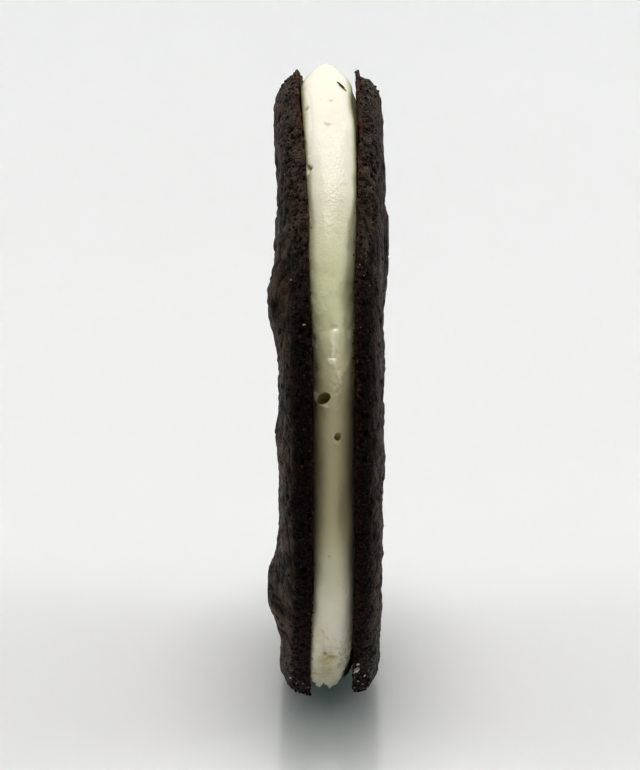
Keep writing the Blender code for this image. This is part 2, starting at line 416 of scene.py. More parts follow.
left_rows, left_round = cookie_rows(LEFT)
right_rows, right_round = cookie_rows(RIGHT)
box_middle = 0.5 * (left_rows[..., 0].min() + right_rows[..., 0].max())
box_middle_y = 0.5 * (left_rows[..., 1].min() + left_rows[..., 1].max())
for rows in (left_rows, right_rows):
    rows[..., 0] -= box_middle
    rows[..., 1] -= box_middle_y
for rows, box in ((left_rows, left_box), (right_rows, right_box)):
    print("a cookie spans", rows[..., 0].min().round(2), "to", rows[..., 0].max().round(2),
          "and its solid", round(box[0].x / MM, 2), "to", round(box[1].x / MM, 2))

# %% [markdown]
# ## Baked relief
#
# Baking leaves its mark at several sizes. The rim is open crumb, as on the
# cut side of a brownie: rounded granules with pores between them. Over the
# turn the skin has dried like leather, into narrow plates with creases that
# run round the disc. On the lumpy side the plates are as wide as they are
# long, steam has left pores, and a few cracks open round the mounds. Each
# kind is one function that gives heights in mm, and masks blend them.

# %% Open crumb on the rim
GRANULE_SPACING, GRANULE_HEIGHT = 0.85, 0.20
RIM_LUMP_SPACING, RIM_LUMP_HEIGHT = 2.4, 0.17
RIM_PORE_SPACING, RIM_PORE_DEPTH = 1.20, 0.45


def crumb_relief(places, seed):
    """Heights of the rim's open crumb, and its hollows, where shade is painted."""
    near, next_near = cell_noise(places, GRANULE_SPACING, seed)
    granules = GRANULE_HEIGHT * (smooth_step(0.0, 0.45, next_near - near) - 0.5)
    lump = RIM_LUMP_HEIGHT * smooth_noise(places, RIM_LUMP_SPACING, seed + 1)
    near, _ = cell_noise(places, RIM_PORE_SPACING, seed + 2)
    chosen = smooth_step(-0.15, 0.2, smooth_noise(places, 1.9, seed + 3))
    pores = chosen * (1.0 - smooth_step(0.10, 0.40, near))
    # Painted shade goes into the pores and between the granules.
    painted_hollow_shade = pores + 0.45 * smooth_step(0.0, 0.12, -granules - 0.02)
    return granules + lump - RIM_PORE_DEPTH * pores, painted_hollow_shade


# %% [markdown]
# Leather-like plates come from smooth noise: where its value crosses zero
# there is a thin line, and the distance from that line, cut off soon, gives
# flat plates with narrow creases. Not cut off, the same distance gives
# pillows that meet in sharp valleys. Stretching the places before the noise
# is read stretches the plates, and a slow drift makes the creases wander.

# %% Dried skin
PLATE_LENGTH, PLATE_WIDTH, PLATE_HEIGHT = 4.2, 1.00, 0.34
FACE_PLATE_SPACING, FACE_PLATE_HEIGHT = 2.3, 0.30
FACE_PORE_SPACING, FACE_PORE_DEPTH = 1.6, 0.30
PILLOW_SPACING, PILLOW_HEIGHT = 3.4, 0.50
CRACK_SPACING, CRACK_WIDTH, CRACK_DEPTH = 11.0, 0.05, 0.60
DRIFT_SPACING, DRIFT = 4.0, 1.3
FINER = 0.45                # spacing of the finer plates and pillows, as a share
FACE_PORES_FROM, FACE_PORES_FULL = 10.0, 22.0      # mm from the middle of the disc


def plates(places, spacing, seed):
    """1 on a plate, falling to 0 in the crease round it."""
    return np.minimum(np.abs(smooth_noise(places, spacing, seed)) / 0.22, 1.0) ** 0.7


def skin_relief(places, run, face, seed):
    """Heights of the dried skin, and its hollows, where shade is painted; face is 0 on the turn, 1 on the
    side.
    """
    drift = np.stack([smooth_noise(places, DRIFT_SPACING, seed + step) for step in range(3)], axis=1)
    drifted = places + DRIFT * drift
    y, z = drifted[:, 1], drifted[:, 2] - MIDDLE_Z
    radius = np.hypot(y, z)
    unrolled = np.stack([RADIUS * y / radius, RADIUS * z / radius, run * PLATE_LENGTH / PLATE_WIDTH], axis=1)
    on_turn = (0.7 * plates(unrolled, PLATE_LENGTH, seed + 4)
               + 0.3 * plates(unrolled, FINER * PLATE_LENGTH, seed + 5))
    on_side = (0.6 * plates(drifted, FACE_PLATE_SPACING, seed + 6)
               + 0.4 * plates(drifted, FINER * FACE_PLATE_SPACING, seed + 7))
    pillows = (np.abs(smooth_noise(drifted, PILLOW_SPACING, seed + 12))
               + 0.5 * np.abs(smooth_noise(drifted, FINER * PILLOW_SPACING, seed + 13)))
    near, _ = cell_noise(places, FACE_PORE_SPACING, seed + 8)
    chosen = smooth_step(0.0, 0.3, smooth_noise(places, 3.0, seed + 9))
    pores = chosen * (1.0 - smooth_step(0.10, 0.36, near))
    pores = pores * smooth_step(FACE_PORES_FROM, FACE_PORES_FULL, radius)
    near, next_near = cell_noise(places + 1.2 * drift, CRACK_SPACING, seed + 10)
    broken = smooth_step(-0.15, 0.2, smooth_noise(places, 9.0, seed + 11))
    crack = face * broken * (1.0 - smooth_step(0.0, CRACK_WIDTH, next_near - near))
    height = (PLATE_HEIGHT * (on_turn - 0.75) * (1.0 - face) + FACE_PLATE_HEIGHT * (on_side - 0.75) * face
              + PILLOW_HEIGHT * (pillows - 0.28) - FACE_PORE_DEPTH * pores - CRACK_DEPTH * crack)
    # Painted shade goes into the creases, pores, cracks and the valleys between pillows.
    crease = (1.0 - on_turn) * (1.0 - face) + (1.0 - on_side) * face
    return height, 1.2 * crease + pores + crack + 0.6 * (1.0 - smooth_step(0.0, 0.14, pillows))


# %% [markdown]
# The two are blended by how far round the section a place lies, with a ragged
# border. The flat side's thin edge is ragged too: crumbs broke off it when
# the cookies were lifted from the tray.
#
# The masks say where the finish changes and where loose grains may lie. Shade
# is painted into the hollows. A pale dusty tone is painted on as sheen, on the
# rim towards the top and the foot and on the skin below the middle. Pale fine
# sugar is put in clusters only where the overhead light falls on the rim, and
# at the foot, as painted glints. The painted sheen and rust fade to one even
# value round the back, so the finish has no seam there.

# %% Dress the cookies
RIM_TO, SKIN_FROM = 0.46, 0.74
EDGE_RAGGED = 0.22


def cookie_relief(cookie, places, round_section):
    """Displacement along the normal, the ragged edge's shift, and three masks."""
    seed = 30 * cookie["seed"]
    radius = np.hypot(places[:, 1], places[:, 2] - MIDDLE_Z)
    run = np.where(round_section < 1.0, round_section * cookie["thickness"], RADIUS - radius)
    border = round_section + 0.16 * smooth_noise(places, 2.2, seed + 20)
    skin = smooth_step(RIM_TO, SKIN_FROM, border)
    face = smooth_step(0.95, 1.2, round_section)
    crumb_height, crumb_hollow_shade = crumb_relief(places, seed)
    skin_height, skin_hollow_shade = skin_relief(places, run, face, seed + 4)
    shown = smooth_step(-0.9, 0.05, round_section)
    height = (crumb_height * (1.0 - skin) + skin_height * skin) * shown
    painted_hollow_shade = (crumb_hollow_shade * (1.0 - skin) + skin_hollow_shade * skin) * shown
    thin = 1.0 - smooth_step(0.0, 0.14, np.abs(round_section))
    ragged = smooth_noise(places, 1.5, seed + 21) + 0.6 * smooth_noise(places, 0.7, seed + 22)
    return height, EDGE_RAGGED * thin * ragged, np.clip(painted_hollow_shade, 0.0, 1.0), skin, thin


def cookie_masks(cookie, places, round_section, painted_hollow_shade, skin, thin):
    """What the finishes and the grains need to know about each vertex, by name."""
    near, _ = rim_place(places)
    rim = (1.0 - skin) * smooth_step(-0.05, 0.05, round_section)
    foot = smooth_step(48.0, 62.0, -near) * smooth_step(-90.0, -72.0, near)
    at_top = smooth_step(48.0, 75.0, near) * smooth_step(160.0, 120.0, near)
    lit_rim = np.exp(-((near - 58.0) / 24.0) ** 2)
    # Painted sheen: the rim paler towards the top and the foot, the skin paler below the middle.
    painted_sheen_on_rim = smooth_step(20.0, 44.0, near) + 0.4 * smooth_step(25.0, 52.0, -near)
    painted_sheen_on_skin = 0.95 * smooth_step(14.0, -6.0, near) * (1.0 - 0.7 * cookie["skin_darkness"])
    dust_and_painted_sheen = painted_sheen_on_rim * (1.0 - skin) + painted_sheen_on_skin * skin
    clusters = smooth_step(-0.1, 0.5, smooth_noise(places, 3.0, 30 * cookie["seed"] + 25))
    return {
        # Painted shade in the hollows.
        "painted_hollow_shade": painted_hollow_shade,
        "skin": skin,
        "rust": thin * (cookie["rust"] + (1.0 - cookie["rust"]) * at_top),
        "skin_darkness": np.full(len(places), cookie["skin_darkness"]),
        "dust_and_painted_sheen": dust_and_painted_sheen + (0.5 - dust_and_painted_sheen) * smooth_step(100.0, 150.0, np.abs(near)),
        # Pale sugar only where the overhead light falls on the rim, and at the foot: painted glints.
        "sugar": rim * (clusters * lit_rim + 1.0 * foot),
        "crumbs": rim * (1.0 - 0.7 * smooth_step(58.0, 74.0, near)),
    }


def dressed_cookie(cookie, rows, round_section):
    mesh = grid_mesh(cookie["name"] + "_baked", rows, {"round_section": round_section})
    if cookie["side"] < 0:
        mesh.flip_normals()
    places = vertex_places(mesh)
    round_section = mask_of(mesh, "round_section")
    height, ragged, *found = cookie_relief(cookie, places / MM, round_section)
    outward = places - np.array((0.0, 0.0, MIDDLE_Z * MM))
    outward[:, 0] = 0.0
    outward /= np.maximum(np.linalg.norm(outward, axis=1), MM)[:, None]
    raised = places + vertex_normals(mesh) * (height * MM)[:, None]
    move_vertices(mesh, raised + outward * (ragged * MM)[:, None])
    for name, values in cookie_masks(cookie, places / MM, round_section, *found).items():
        set_mask(mesh, name, values)
    return show(cookie["name"] + "_baked", mesh)


left_cookie = dressed_cookie(LEFT, left_rows, left_round)
right_cookie = dressed_cookie(RIGHT, right_rows, right_round)
print("triangles in a cookie:", 2 * COLUMNS * left_rows.shape[0])

# %% [markdown]
# ## The cream
#
# The filling was piped thick and pressed, so it swells to a crown between the
# cookies: proud of the rim at the top, sunk between them half way up, and
# torn at the bottom where its end came off on the tray. It clings to the flat
# sides, except near the top and the bottom on the right, where it has let go
# and leaves a dark slit, and by a hair near the top on the left. The section
# changes all the way round, so it is given at stations, and eased from one to
# the next.

# %% Cream surface
CREAM_NEAR_COLUMNS, CREAM_FAR_COLUMNS = 880, 360
CREAM_COLUMNS = CREAM_NEAR_COLUMNS + CREAM_FAR_COLUMNS
CROWN_ROWS = 56
CREAM_SIDE_POWER = 0.8
CREAM_WAVES = ((3, 0.16, 0.4), (4, 0.12, 1.9), (7, 0.08, 3.3))
CLING = 0.06                          # how far the cream sinks into a flat side
# Angle in degrees (0 faces the camera, 90 is the top), inset of the left and
# the right contact line, height of the crown over them, power of its curve.
CREAM_STATIONS = (
    (-180.0, 2.9, 2.7, 2.2, 2.2), (-150.0, 3.0, 2.8, 2.2, 2.2), (-120.0, 2.3, 2.3, 1.9, 2.4),
    (-90.0, 1.9, 1.9, 1.35, 2.4), (-74.0, 1.3, 3.0, 1.35, 2.4), (-64.0, 1.2, 3.0, 1.35, 2.4),
    (-52.0, 1.1, 3.0, 1.4, 2.4), (-40.0, 1.2, 3.3, 1.7, 2.3), (-29.0, 1.8, 3.4, 2.2, 2.2),
    (-20.0, 3.0, 4.0, 2.5, 2.1), (-8.0, 4.2, 4.9, 2.4, 2.1), (6.0, 4.0, 4.4, 2.5, 2.1),
    (14.0, 3.3, 3.3, 2.5, 2.1), (20.0, 2.6, 3.4, 2.45, 1.95), (27.0, 1.8, 4.0, 2.5, 1.75),
    (36.0, 1.9, 3.2, 2.25, 1.9), (50.0, 1.8, 1.9, 1.68, 2.9), (66.0, 1.1, 1.2, 1.7, 4.0),
    (80.0, 1.1, 1.1, 1.7, 3.6), (92.0, 2.2, 2.3, 3.0, 1.65), (99.0, 3.0, 3.0, 3.70, 1.15),
    (108.0, 3.0, 3.0, 3.65, 1.15), (124.0, 2.5, 2.6, 2.6, 2.2), (150.0, 2.3, 2.5, 2.0, 2.4),
    (180.0, 2.9, 2.7, 2.2, 2.2),
)
TEAR_ACROSS = (-1.0, -0.80, -0.42, -0.27, 0.02, 0.35, 0.70, 1.0)
TEAR_ANGLE = (-54.0, -58.0, -64.0, -57.5, -69.0, -63.0, -58.5, -55.0)
TEAR_DEPTH = 2.4
TEAR_FAR = -78.0                      # where the crown comes back underneath

cream_angles = columns_round(CREAM_NEAR_COLUMNS, CREAM_FAR_COLUMNS)
cream_near = degrees_round(cream_angles)


def at_stations(near, column):
    """A station value for each angle, eased from one station to the next."""
    table = np.array(CREAM_STATIONS)
    spot = np.clip(np.searchsorted(table[:, 0], near) - 1, 0, len(table) - 2)
    low, high = table[spot], table[spot + 1]
    share = smooth_step(0.0, 1.0, (near - low[:, 0]) / (high[:, 0] - low[:, 0]))
    return low[:, column] + (high[:, column] - low[:, column]) * share


def let_go(near):
    """How far the crown stands off the left and right flat sides, in mm."""
    right = (0.28 * smooth_step(42.0, 54.0, near) + 0.25 * smooth_step(54.0, 63.0, near)
             + 0.65 * smooth_step(62.0, 75.0, near)
             + 0.75 * smooth_step(42.0, 58.0, -near) * smooth_step(-94.0, -80.0, near))
    left = 0.12 * smooth_step(50.0, 70.0, near)
    back = 1.0 - smooth_step(110.0, 130.0, near)
    return left * back, right * back


def cream_rows():
    near = cream_near
    inset_left, inset_right, crown, power = (at_stations(near, column) for column in (1, 2, 3, 4))
    uneven = waves(cream_angles, CREAM_WAVES)
    off_left, off_right = let_go(near)
    rows, across_mask, torn_mask = [], [], []

    def row(radius, across, inward_left, inward_right, torn):
        y = radius * np.cos(cream_angles)
        z = radius * np.sin(cream_angles)
        open_part = smooth_step(0.88, 0.98, radius / RADIUS)
        left = -flat_side(LEFT, z) - bevel(LEFT, near) * open_part - CLING + inward_left
        right = flat_side(RIGHT, z) + bevel(RIGHT, near) * open_part + CLING - inward_right
        x = left + (right - left) * (0.5 + 0.5 * across)
        rows.append(np.stack([x - box_middle, y - box_middle_y, z + MIDDLE_Z], axis=-1))
        across_mask.append(np.full(CREAM_COLUMNS, across))
        torn_mask.append(np.zeros(CREAM_COLUMNS) + torn)

    def torn_away(across):
        tear_at = np.interp(across, TEAR_ACROSS, TEAR_ANGLE)
        ragged = tear_at + 1.1 * noise.noise((across * 9.0, 4.0, 1.0))
        return smooth_step(0.0, 2.2, ragged - near) * (1.0 - smooth_step(0.0, 8.0, TEAR_FAR - near))

    def side_rows(sides, across, inset):
        torn = torn_away(across)
        for share, off in sides:
            radius = share * (RADIUS - inset + uneven) - TEAR_DEPTH * torn * smooth_step(0.80, 0.95, share)
            row(radius, across, (across < 0.0) * off * off_left, (across > 0.0) * off * off_right, torn)

    sides = ((0.03, 0.0), (0.4, 0.0), (0.8, 0.0), (0.93, 0.0), (0.955, 0.35), (0.98, 0.8), (0.993, 1.0))
    side_rows(sides, -1.0, inset_left)
    for across in -np.cos(np.pi * np.arange(CROWN_ROWS + 1) / CROWN_ROWS):
        contact = RADIUS - inset_left + (inset_left - inset_right) * (0.5 + 0.5 * across) + uneven
        rise = np.maximum(1.0 - np.abs(across) ** power, 0.0) ** CREAM_SIDE_POWER
        torn = torn_away(across)
        row(contact + crown * rise - TEAR_DEPTH * torn, across, off_left, off_right, torn)
    side_rows(sides[::-1], 1.0, inset_right)
    return np.array(rows), np.array(across_mask), np.array(torn_mask)


rows, across_mask, torn_mask = cream_rows()
cream_mesh = grid_mesh("cream_filling_piped", rows, {"across": across_mask, "torn": torn_mask})
print("the cream reaches", rows[..., 2].min().round(2), "to", rows[..., 2].max().round(2),
      "and its solid", round(cream_box[0].z / MM, 2), "to", round(cream_box[1].z / MM, 2))

# %% [markdown]
# Butter cream keeps every mark of its making. The marks are placed by two
# numbers: the angle round the rim and the distance across it from the middle
# plane. Dents are bells, stretched and turned, and a dent of less than no depth
# is a swelling. Smears and creases follow short lines. The rest is noise: a
# soft unevenness all over, a wet pebbled patch high up where the knife left
# the cream glossy, a scraped stretch with a rough patch round the smear, and
# a crumbly end at the bottom.

# %% Marks in the cream
MARK_RADIUS = 44.0          # distances along the rim are measured at this radius
# angle, place across, half length along, half width across, turn, depth, power
DENTS = (
    (20.5, -2.55, 0.7, 0.45, 25.0, 0.55, 3.0), (69.1, -3.3, 0.42, 0.30, 0.0, 0.30, 2.0),
    (62.9, -0.4, 0.40, 0.36, 0.0, 0.28, 2.0), (70.9, 0.12, 0.24, 0.20, 0.0, 0.14, 2.0),
    (71.4, -1.35, 0.15, 0.15, 0.0, 0.12, 2.0),
    (-43.6, -0.62, 0.45, 0.30, 15.0, 0.36, 2.0), (-19.1, -0.05, 0.16, 0.16, 0.0, 0.12, 2.0),
    (-12.0, 1.9, 3.5, 0.8, 0.0, 0.25, 2.0), (58.0, 1.0, 3.0, 1.6, 20.0, 0.10, 2.0),
    (88.0, 1.9, 1.5, 0.7, 20.0, 0.22, 2.0), (16.4, 0.28, 0.60, 0.46, 0.0, -0.10, 2.2),
    (15.4, 0.42, 1.10, 0.50, -12.0, -0.16, 2.0), (62.0, 2.4, 2.2, 0.7, -10.0, -0.16, 2.0),
    (-25.0, -0.6, 3.0, 1.6, 0.0, -0.15, 2.0),
    (-47.0, 0.9, 1.1, 0.8, 20.0, -0.16, 2.0), (-50.0, -1.6, 1.2, 0.7, -10.0, -0.14, 2.0),
)
# height, half width, and the line's places (angle, place across)
LINES = (
    (0.20, 0.19, ((21.6, 0.65), (20.3, 0.30), (18.5, 0.40), (16.8, 0.26))),
    (0.08, 0.13, ((21.8, 0.95), (20.0, 0.80), (18.6, 0.85))),
    (0.09, 0.13, ((16.3, 0.45), (14.5, 0.95), (12.7, 1.55))),
    (-0.20, 0.14, ((-35.4, -1.45), (-36.3, -1.10), (-37.2, -0.62), (-38.8, -0.10))),
    (-0.18, 0.13, ((-36.4, -1.00), (-39.5, -0.85), (-43.4, -0.65))),
    (-0.22, 0.16, ((-43.6, -0.5), (-44.6, 0.3), (-45.8, 1.2))),
    (-0.06, 0.14, ((76.0, -3.1), (70.0, -2.7), (62.0, -2.5), (56.0, -2.8))),
)
# A lap: the cream above a short line is lower than below it. Middle of the
# line (angle, place across), its half length, turn, depth, and how far up
# the lower part runs.
LAPS = (
    (52.2, -2.95, 0.75, 40.0, 0.65, 2.8), (18.9, -2.45, 0.45, 39.0, 0.40, 1.5),
    (14.2, -1.9, 0.60, 33.0, 0.16, 0.7), (16.6, 0.26, 0.42, 0.0, 0.42, 0.7),
    (21.5, 0.62, 0.42, 25.0, 0.22, 0.6), (-33.5, 1.6, 0.7, 25.0, 0.10, 2.0),
)
# hole middle (angle, place across), half length, half width, turn, depth
HOLES = ((10.0, -0.95, 1.02, 0.66, 37.0, 0.95), (3.3, 0.91, 0.56, 0.40, 72.0, 0.34))
BUBBLE_LIP, BUBBLE_LIP_WIDTH = 0.20, 0.18
# angle, place across, half length in degrees, half width in mm, power
WET_PATCH = (55.0, 0.9, 19.0, 2.0, 4)
ROUGH_PATCH = (12.0, 0.9, 3.0, 0.9, 2)
SCRAPED_AT, SCRAPED_HALF_LENGTH = 21.0, 12.0       # degrees
SMEAR, SMEAR_BRANCHES = LINES[0][2], (LINES[1][2], LINES[2][2])
SMEAR_HALF_WIDTH, BRANCH_HALF_WIDTH = 0.30, 0.18
# The drop's whiteness is a painted highlight.
DROP_AT, DROP_ACROSS, DROP_FULL, DROP_GONE = 16.7, 0.26, 0.42, 0.68   # the smear's bright drop


def turned(near, across, middle_near, middle_across, turn):
    """Distances from a mark's middle in mm, along its length and its width."""
    up = np.radians(near - middle_near) * MARK_RADIUS
    right = across - middle_across
    slope = math.radians(turn)
    return up * math.cos(slope) - right * math.sin(slope), up * math.sin(slope) + right * math.cos(slope)


def line_distance(near, across, line):
    """Distance in mm from each place to a line given by rim places."""
    up, right = np.radians(near) * MARK_RADIUS, across
    nearest = np.full(len(near), np.inf)
    for (near_a, across_a), (near_b, across_b) in zip(line, line[1:]):
        start = np.array((math.radians(near_a) * MARK_RADIUS, across_a))
        step = np.array((math.radians(near_b) * MARK_RADIUS, across_b)) - start
        share = ((up - start[0]) * step[0] + (right - start[1]) * step[1]) / (step @ step)
        share = np.clip(share, 0.0, 1.0)
        away = np.hypot(up - start[0] - share * step[0], right - start[1] - share * step[1])
        nearest = np.minimum(nearest, away)
    return nearest


def patch_round(near, across, patch):
    """1 in the middle of a patch, fading to 0 round it."""
    near_at, across_at, half_length, half_width, power = patch
    return np.exp(-(((near - near_at) / half_length) ** power + ((across - across_at) / half_width) ** power))


def cream_relief(places, torn):
    """Heights of the marks, and masks of pebbles, smears with a painted highlight, and wet cream."""
    near, across = rim_place(places)
    height = 0.12 * smooth_noise(places, 5.0, 201) + 0.05 * smooth_noise(places, 1.8, 202)
    height += 0.018 * smooth_noise(places, 0.7, 203)
    for middle, across_at, length, width, turn, depth, power in DENTS:
        along, aside = turned(near, across, middle, across_at, turn)
        height -= depth * np.exp(-np.hypot(along / length, aside / width) ** power)
    thicker = 1.0 + 0.6 * smooth_noise(places, 0.7, 210)
    for rise, half_width, line in LINES:
        height += rise * thicker * np.exp(-(line_distance(near, across, line) / half_width) ** 2)
    for middle, across_at, half_length, turn, depth, reach in LAPS:
        above, beside = turned(near, across, middle, across_at, turn)
        step = smooth_step(0.0, 0.30, above) * np.exp(-(above / reach) ** 2)
        height -= depth * step * np.exp(-(beside / half_length) ** 4)
    smear_and_highlight = np.zeros(len(places))
    for middle, across_at, length, width, turn, depth in HOLES:
        along, aside = turned(near, across, middle, across_at, 90.0 - turn)
        ring = (np.hypot(along / length, aside / width) - 1.0) * width
        lower = smooth_step(0.2, -0.6, (near - middle) + 1.5 * (across - across_at))
        lip = lower * np.exp(-((ring - 0.08) / BUBBLE_LIP_WIDTH) ** 2)
        height += BUBBLE_LIP * lip
        # Painted highlight: the lower lip of each hole is whitened.
        smear_and_highlight = np.maximum(smear_and_highlight, depth * lip)
    patch = patch_round(near, across, WET_PATCH)
    # The smear is white cream, whitened further as a painted highlight.
    smear_and_highlight = np.maximum(smear_and_highlight, np.exp(-(line_distance(near, across, SMEAR) / SMEAR_HALF_WIDTH) ** 2))
    for line in SMEAR_BRANCHES:
        away = line_distance(near, across, line)
        smear_and_highlight = np.maximum(smear_and_highlight, 0.5 * np.exp(-(away / BRANCH_HALF_WIDTH) ** 2))
    # The drop is whitened as a painted highlight.
    drop = np.hypot(np.radians(near - DROP_AT) * MARK_RADIUS, across - DROP_ACROSS)
    smear_and_highlight = np.maximum(smear_and_highlight, 1.0 - smooth_step(DROP_FULL, DROP_GONE, drop))
    wet = patch * smooth_step(-0.25, 0.15, smooth_noise(places, 2.5, 204) + 0.25 * patch)
    height += 0.03 * wet * smooth_noise(places, 0.45, 205)
    rough_patch = patch_round(near, across, ROUGH_PATCH)
    # White flecks on the rough patch, with a painted highlight.
    smear_and_highlight = np.maximum(smear_and_highlight, 0.5 * rough_patch * smooth_step(-0.1, 0.4, smooth_noise(places, 0.6, 212)))
    scraped = np.exp(-((near - SCRAPED_AT) / SCRAPED_HALF_LENGTH) ** 4)
    height += scraped * (0.09 * smooth_noise(places, 1.5, 211) + 0.035 * smooth_noise(places, 0.6, 213))
    crumbly = smooth_step(33.0, 47.0, -near) * smooth_step(-125.0, -100.0, near)
    height += (0.14 * rough_patch + 0.15 * crumbly) * smooth_noise(places, 0.62, 206)
    height += 0.24 * crumbly * smooth_noise(places, 1.5, 207) + 0.16 * torn * smooth_noise(places, 0.8, 208)
    streaky = 0.65 + 0.35 * smooth_step(-0.3, 0.3, smooth_noise(places, 0.5, 209))
    return height, np.maximum(0.5 * wet, 1.0 - (1.0 - crumbly) * (1.0 - rough_patch)), smear_and_highlight * streaky, wet


places = vertex_places(cream_mesh)
height, pebbly, smear_and_highlight, wet = cream_relief(places / MM, mask_of(cream_mesh, "torn"))
margin = np.abs(mask_of(cream_mesh, "across"))
shown = 1.0 - smooth_step(0.88, 0.985, margin)
move_vertices(cream_mesh, places + vertex_normals(cream_mesh) * (height * shown * MM)[:, None])
set_mask(cream_mesh, "wet", wet * shown)
set_mask(cream_mesh, "pebbly", pebbly * shown)
set_mask(cream_mesh, "smear_and_highlight", smear_and_highlight)
on_margin = smooth_step(0.75, 0.9, margin) * (margin < 0.995)
set_mask(cream_mesh, "margin", on_margin * smooth_step(60.0, 40.0, rim_place(places / MM)[0]))
cream = show("cream_filling_piped", cream_mesh)
print("dents:", len(DENTS), "lines:", len(LINES), "triangles:", 2 * CREAM_COLUMNS * rows.shape[0])

# %% [markdown]
# The burst air bubbles are real holes, wider inside than at the mouth. An
# egg-shaped cutter, turned as the hole is, is sunk under the surface and taken
# away with a Boolean modifier, which is applied at once.

# %% Bubble holes
def spot_on(mesh, near_at, across_at):
    """Place and normal, in metres, of the vertex nearest a rim place."""
    places = vertex_places(mesh)
    near, across = rim_place(places / MM)
    outer = np.hypot(places[:, 1], places[:, 2] - MIDDLE_Z * MM) > 0.84 * RADIUS * MM
    away = np.hypot(np.radians(near - near_at) * MARK_RADIUS, across - across_at) + np.where(outer, 0.0, 99.0)
    best = int(np.argmin(away))
    return Vector(places[best]), Vector(vertex_normals(mesh)[best])


def frame_at(normal, turn):
    """Rotation whose Z is the normal and whose X lies in the surface, turned."""
    across = Vector((1.0, 0.0, 0.0))
    up = normal.cross(across).normalized()
    across = up.cross(normal)
    slope = math.radians(turn)
    x_axis = across * math.cos(slope) + up * math.sin(slope)
    return Matrix((x_axis, normal.cross(x_axis), normal)).transposed().to_4x4()


def applied(piece):
    """The piece's mesh with its modifiers applied, and the piece without them."""
    graph = bpy.context.evaluated_depsgraph_get()
    mesh = bpy.data.meshes.new_from_object(piece.evaluated_get(graph), depsgraph=graph)
    piece.modifiers.clear()
    piece.data = mesh
    return mesh


eggs = []
for middle, across_at, length, width, turn, depth in HOLES:
    place, normal = spot_on(cream.data, middle, across_at)
    egg = bmesh.new()
    bmesh.ops.create_icosphere(egg, subdivisions=4, radius=1.0)
    size = Matrix.Diagonal((1.06 * length * MM, 1.06 * width * MM, depth * MM, 1.0))
    eggs.append(Matrix.Translation(place - normal * (0.22 * depth * MM)) @ frame_at(normal, turn) @ size)
    egg.transform(eggs[-1])
    egg_mesh = bpy.data.meshes.new("bubble")
    egg.to_mesh(egg_mesh)
    egg.free()
    bubble = show("bubble", egg_mesh)
    cut = cream.modifiers.new("hole", "BOOLEAN")
    cut.operation = "DIFFERENCE"
    cut.solver = "EXACT"
    cut.object = bubble
    applied(cream)
    bpy.data.objects.remove(bubble)
cream.data.shade_smooth()
cream.data.set_sharp_from_angle(angle=math.radians(50.0))
cream.data.name = "cream_filling_piped"
print("vertices with the holes cut:", len(cream.data.vertices))

# %% [markdown]
# The marks also have colours. Inside the holes and the dents of the upper half
# the cream is painted an olive shade, as light goes deep there before it comes
# back. Where it is sunk between the cookies, and along its edges by them, a
# little green shade is painted, and half way up the near rim a darker, browner
# shade is painted for light bounced off the cookies. Near the torn end, fat and
# crumb have left ochre and tan stains.

# %% Colour masks of the cream
# angle, place across, half length along, half width across, turn, strength
STAINS_AND_DENT_SHADE = (
    (-43.5, -0.62, 0.42, 0.34, 0.0, 1.0), (-44.5, -0.5, 2.2, 1.0, 0.0, 0.42),
    (-50.5, -0.5, 3.8, 1.1, 0.0, 0.50), (-45.0, 0.40, 0.32, 1.0, -28.0, 0.50),
    (-51.6, -2.0, 0.6, 0.45, -15.0, 0.6), (-50.3, 1.15, 0.7, 0.40, -20.0, 0.6),
    (-37.0, -1.4, 2.5, 1.0, 0.0, 0.16), (69.1, -3.25, 0.45, 0.35, 0.0, 0.8),
    (62.9, -0.4, 0.40, 0.36, 0.0, 0.45), (70.9, 0.12, 0.30, 0.28, 0.0, 0.9),
    (71.4, -1.35, 0.18, 0.18, 0.0, 0.35), (-19.1, -0.05, 0.18, 0.18, 0.0, 0.7),
)
DENT_SHADE_SHARE = 0.7           # how strong the painted shade in an upper dent is, as a share
PAINTED_BOUNCE_AT, PAINTED_BOUNCE_HALF_LENGTH = -1.0, 17.0       # degrees
places = vertex_places(cream.data) / MM
near, across = rim_place(places)
stain, inside = np.zeros(len(places)), np.zeros(len(places))
for middle, across_at, length, width, turn, strength in STAINS_AND_DENT_SHADE:
    along, aside = turned(near, across, middle, across_at, turn)
    spot = strength * np.exp(-np.hypot(along / length, aside / width) ** 2)
    # The lower marks are stains; the upper ones are painted shade in the dents.
    if middle < 0.0:
        stain += spot
    else:
        inside += DENT_SHADE_SHARE * spot
stain *= 1.0 + 0.7 * smooth_noise(places, 0.7, 301)
# Painted olive shade on the walls of the holes.
for egg in eggs:
    back = np.array(egg.inverted())
    local = (places * MM) @ back[:3, :3].T + back[:3, 3]
    inside = np.maximum(inside, np.abs(np.linalg.norm(local, axis=1) - 1.0) < 0.02)
# Painted shade, a little green, where the cream is sunk between the cookies, along its edges by them, and low
# down.
sunk = smooth_step(60.0, 28.0, near) * smooth_step(-42.0, -8.0, near) + 0.32 * smooth_step(34.0, 46.0, -near)
sunk = np.maximum(sunk, smooth_step(0.72, 0.97, np.abs(mask_of(cream.data, "across"))))
sunk *= smooth_step(150.0, 100.0, np.abs(near))
# Painted shade, darker and browner, half way up the near rim, for light bounced off the cookies.
browned = np.exp(-((near - PAINTED_BOUNCE_AT) / PAINTED_BOUNCE_HALF_LENGTH) ** 4)
cream_masks = {"stain": np.clip(stain, 0.0, 1.0), "inside": inside, "sunk": sunk, "browned": browned}
for name, values in cream_masks.items():
    set_mask(cream.data, name, values)
print("stained vertices:", int((stain > 0.3).sum()), "inside bubbles:", int((inside > 0.5).sum()))

# %% [markdown]
# ## Materials
#
# One function adds a node with its settings and links, and one turns a hex
# colour, as a paint chart gives it, into the linear values that the renderer
# mixes.

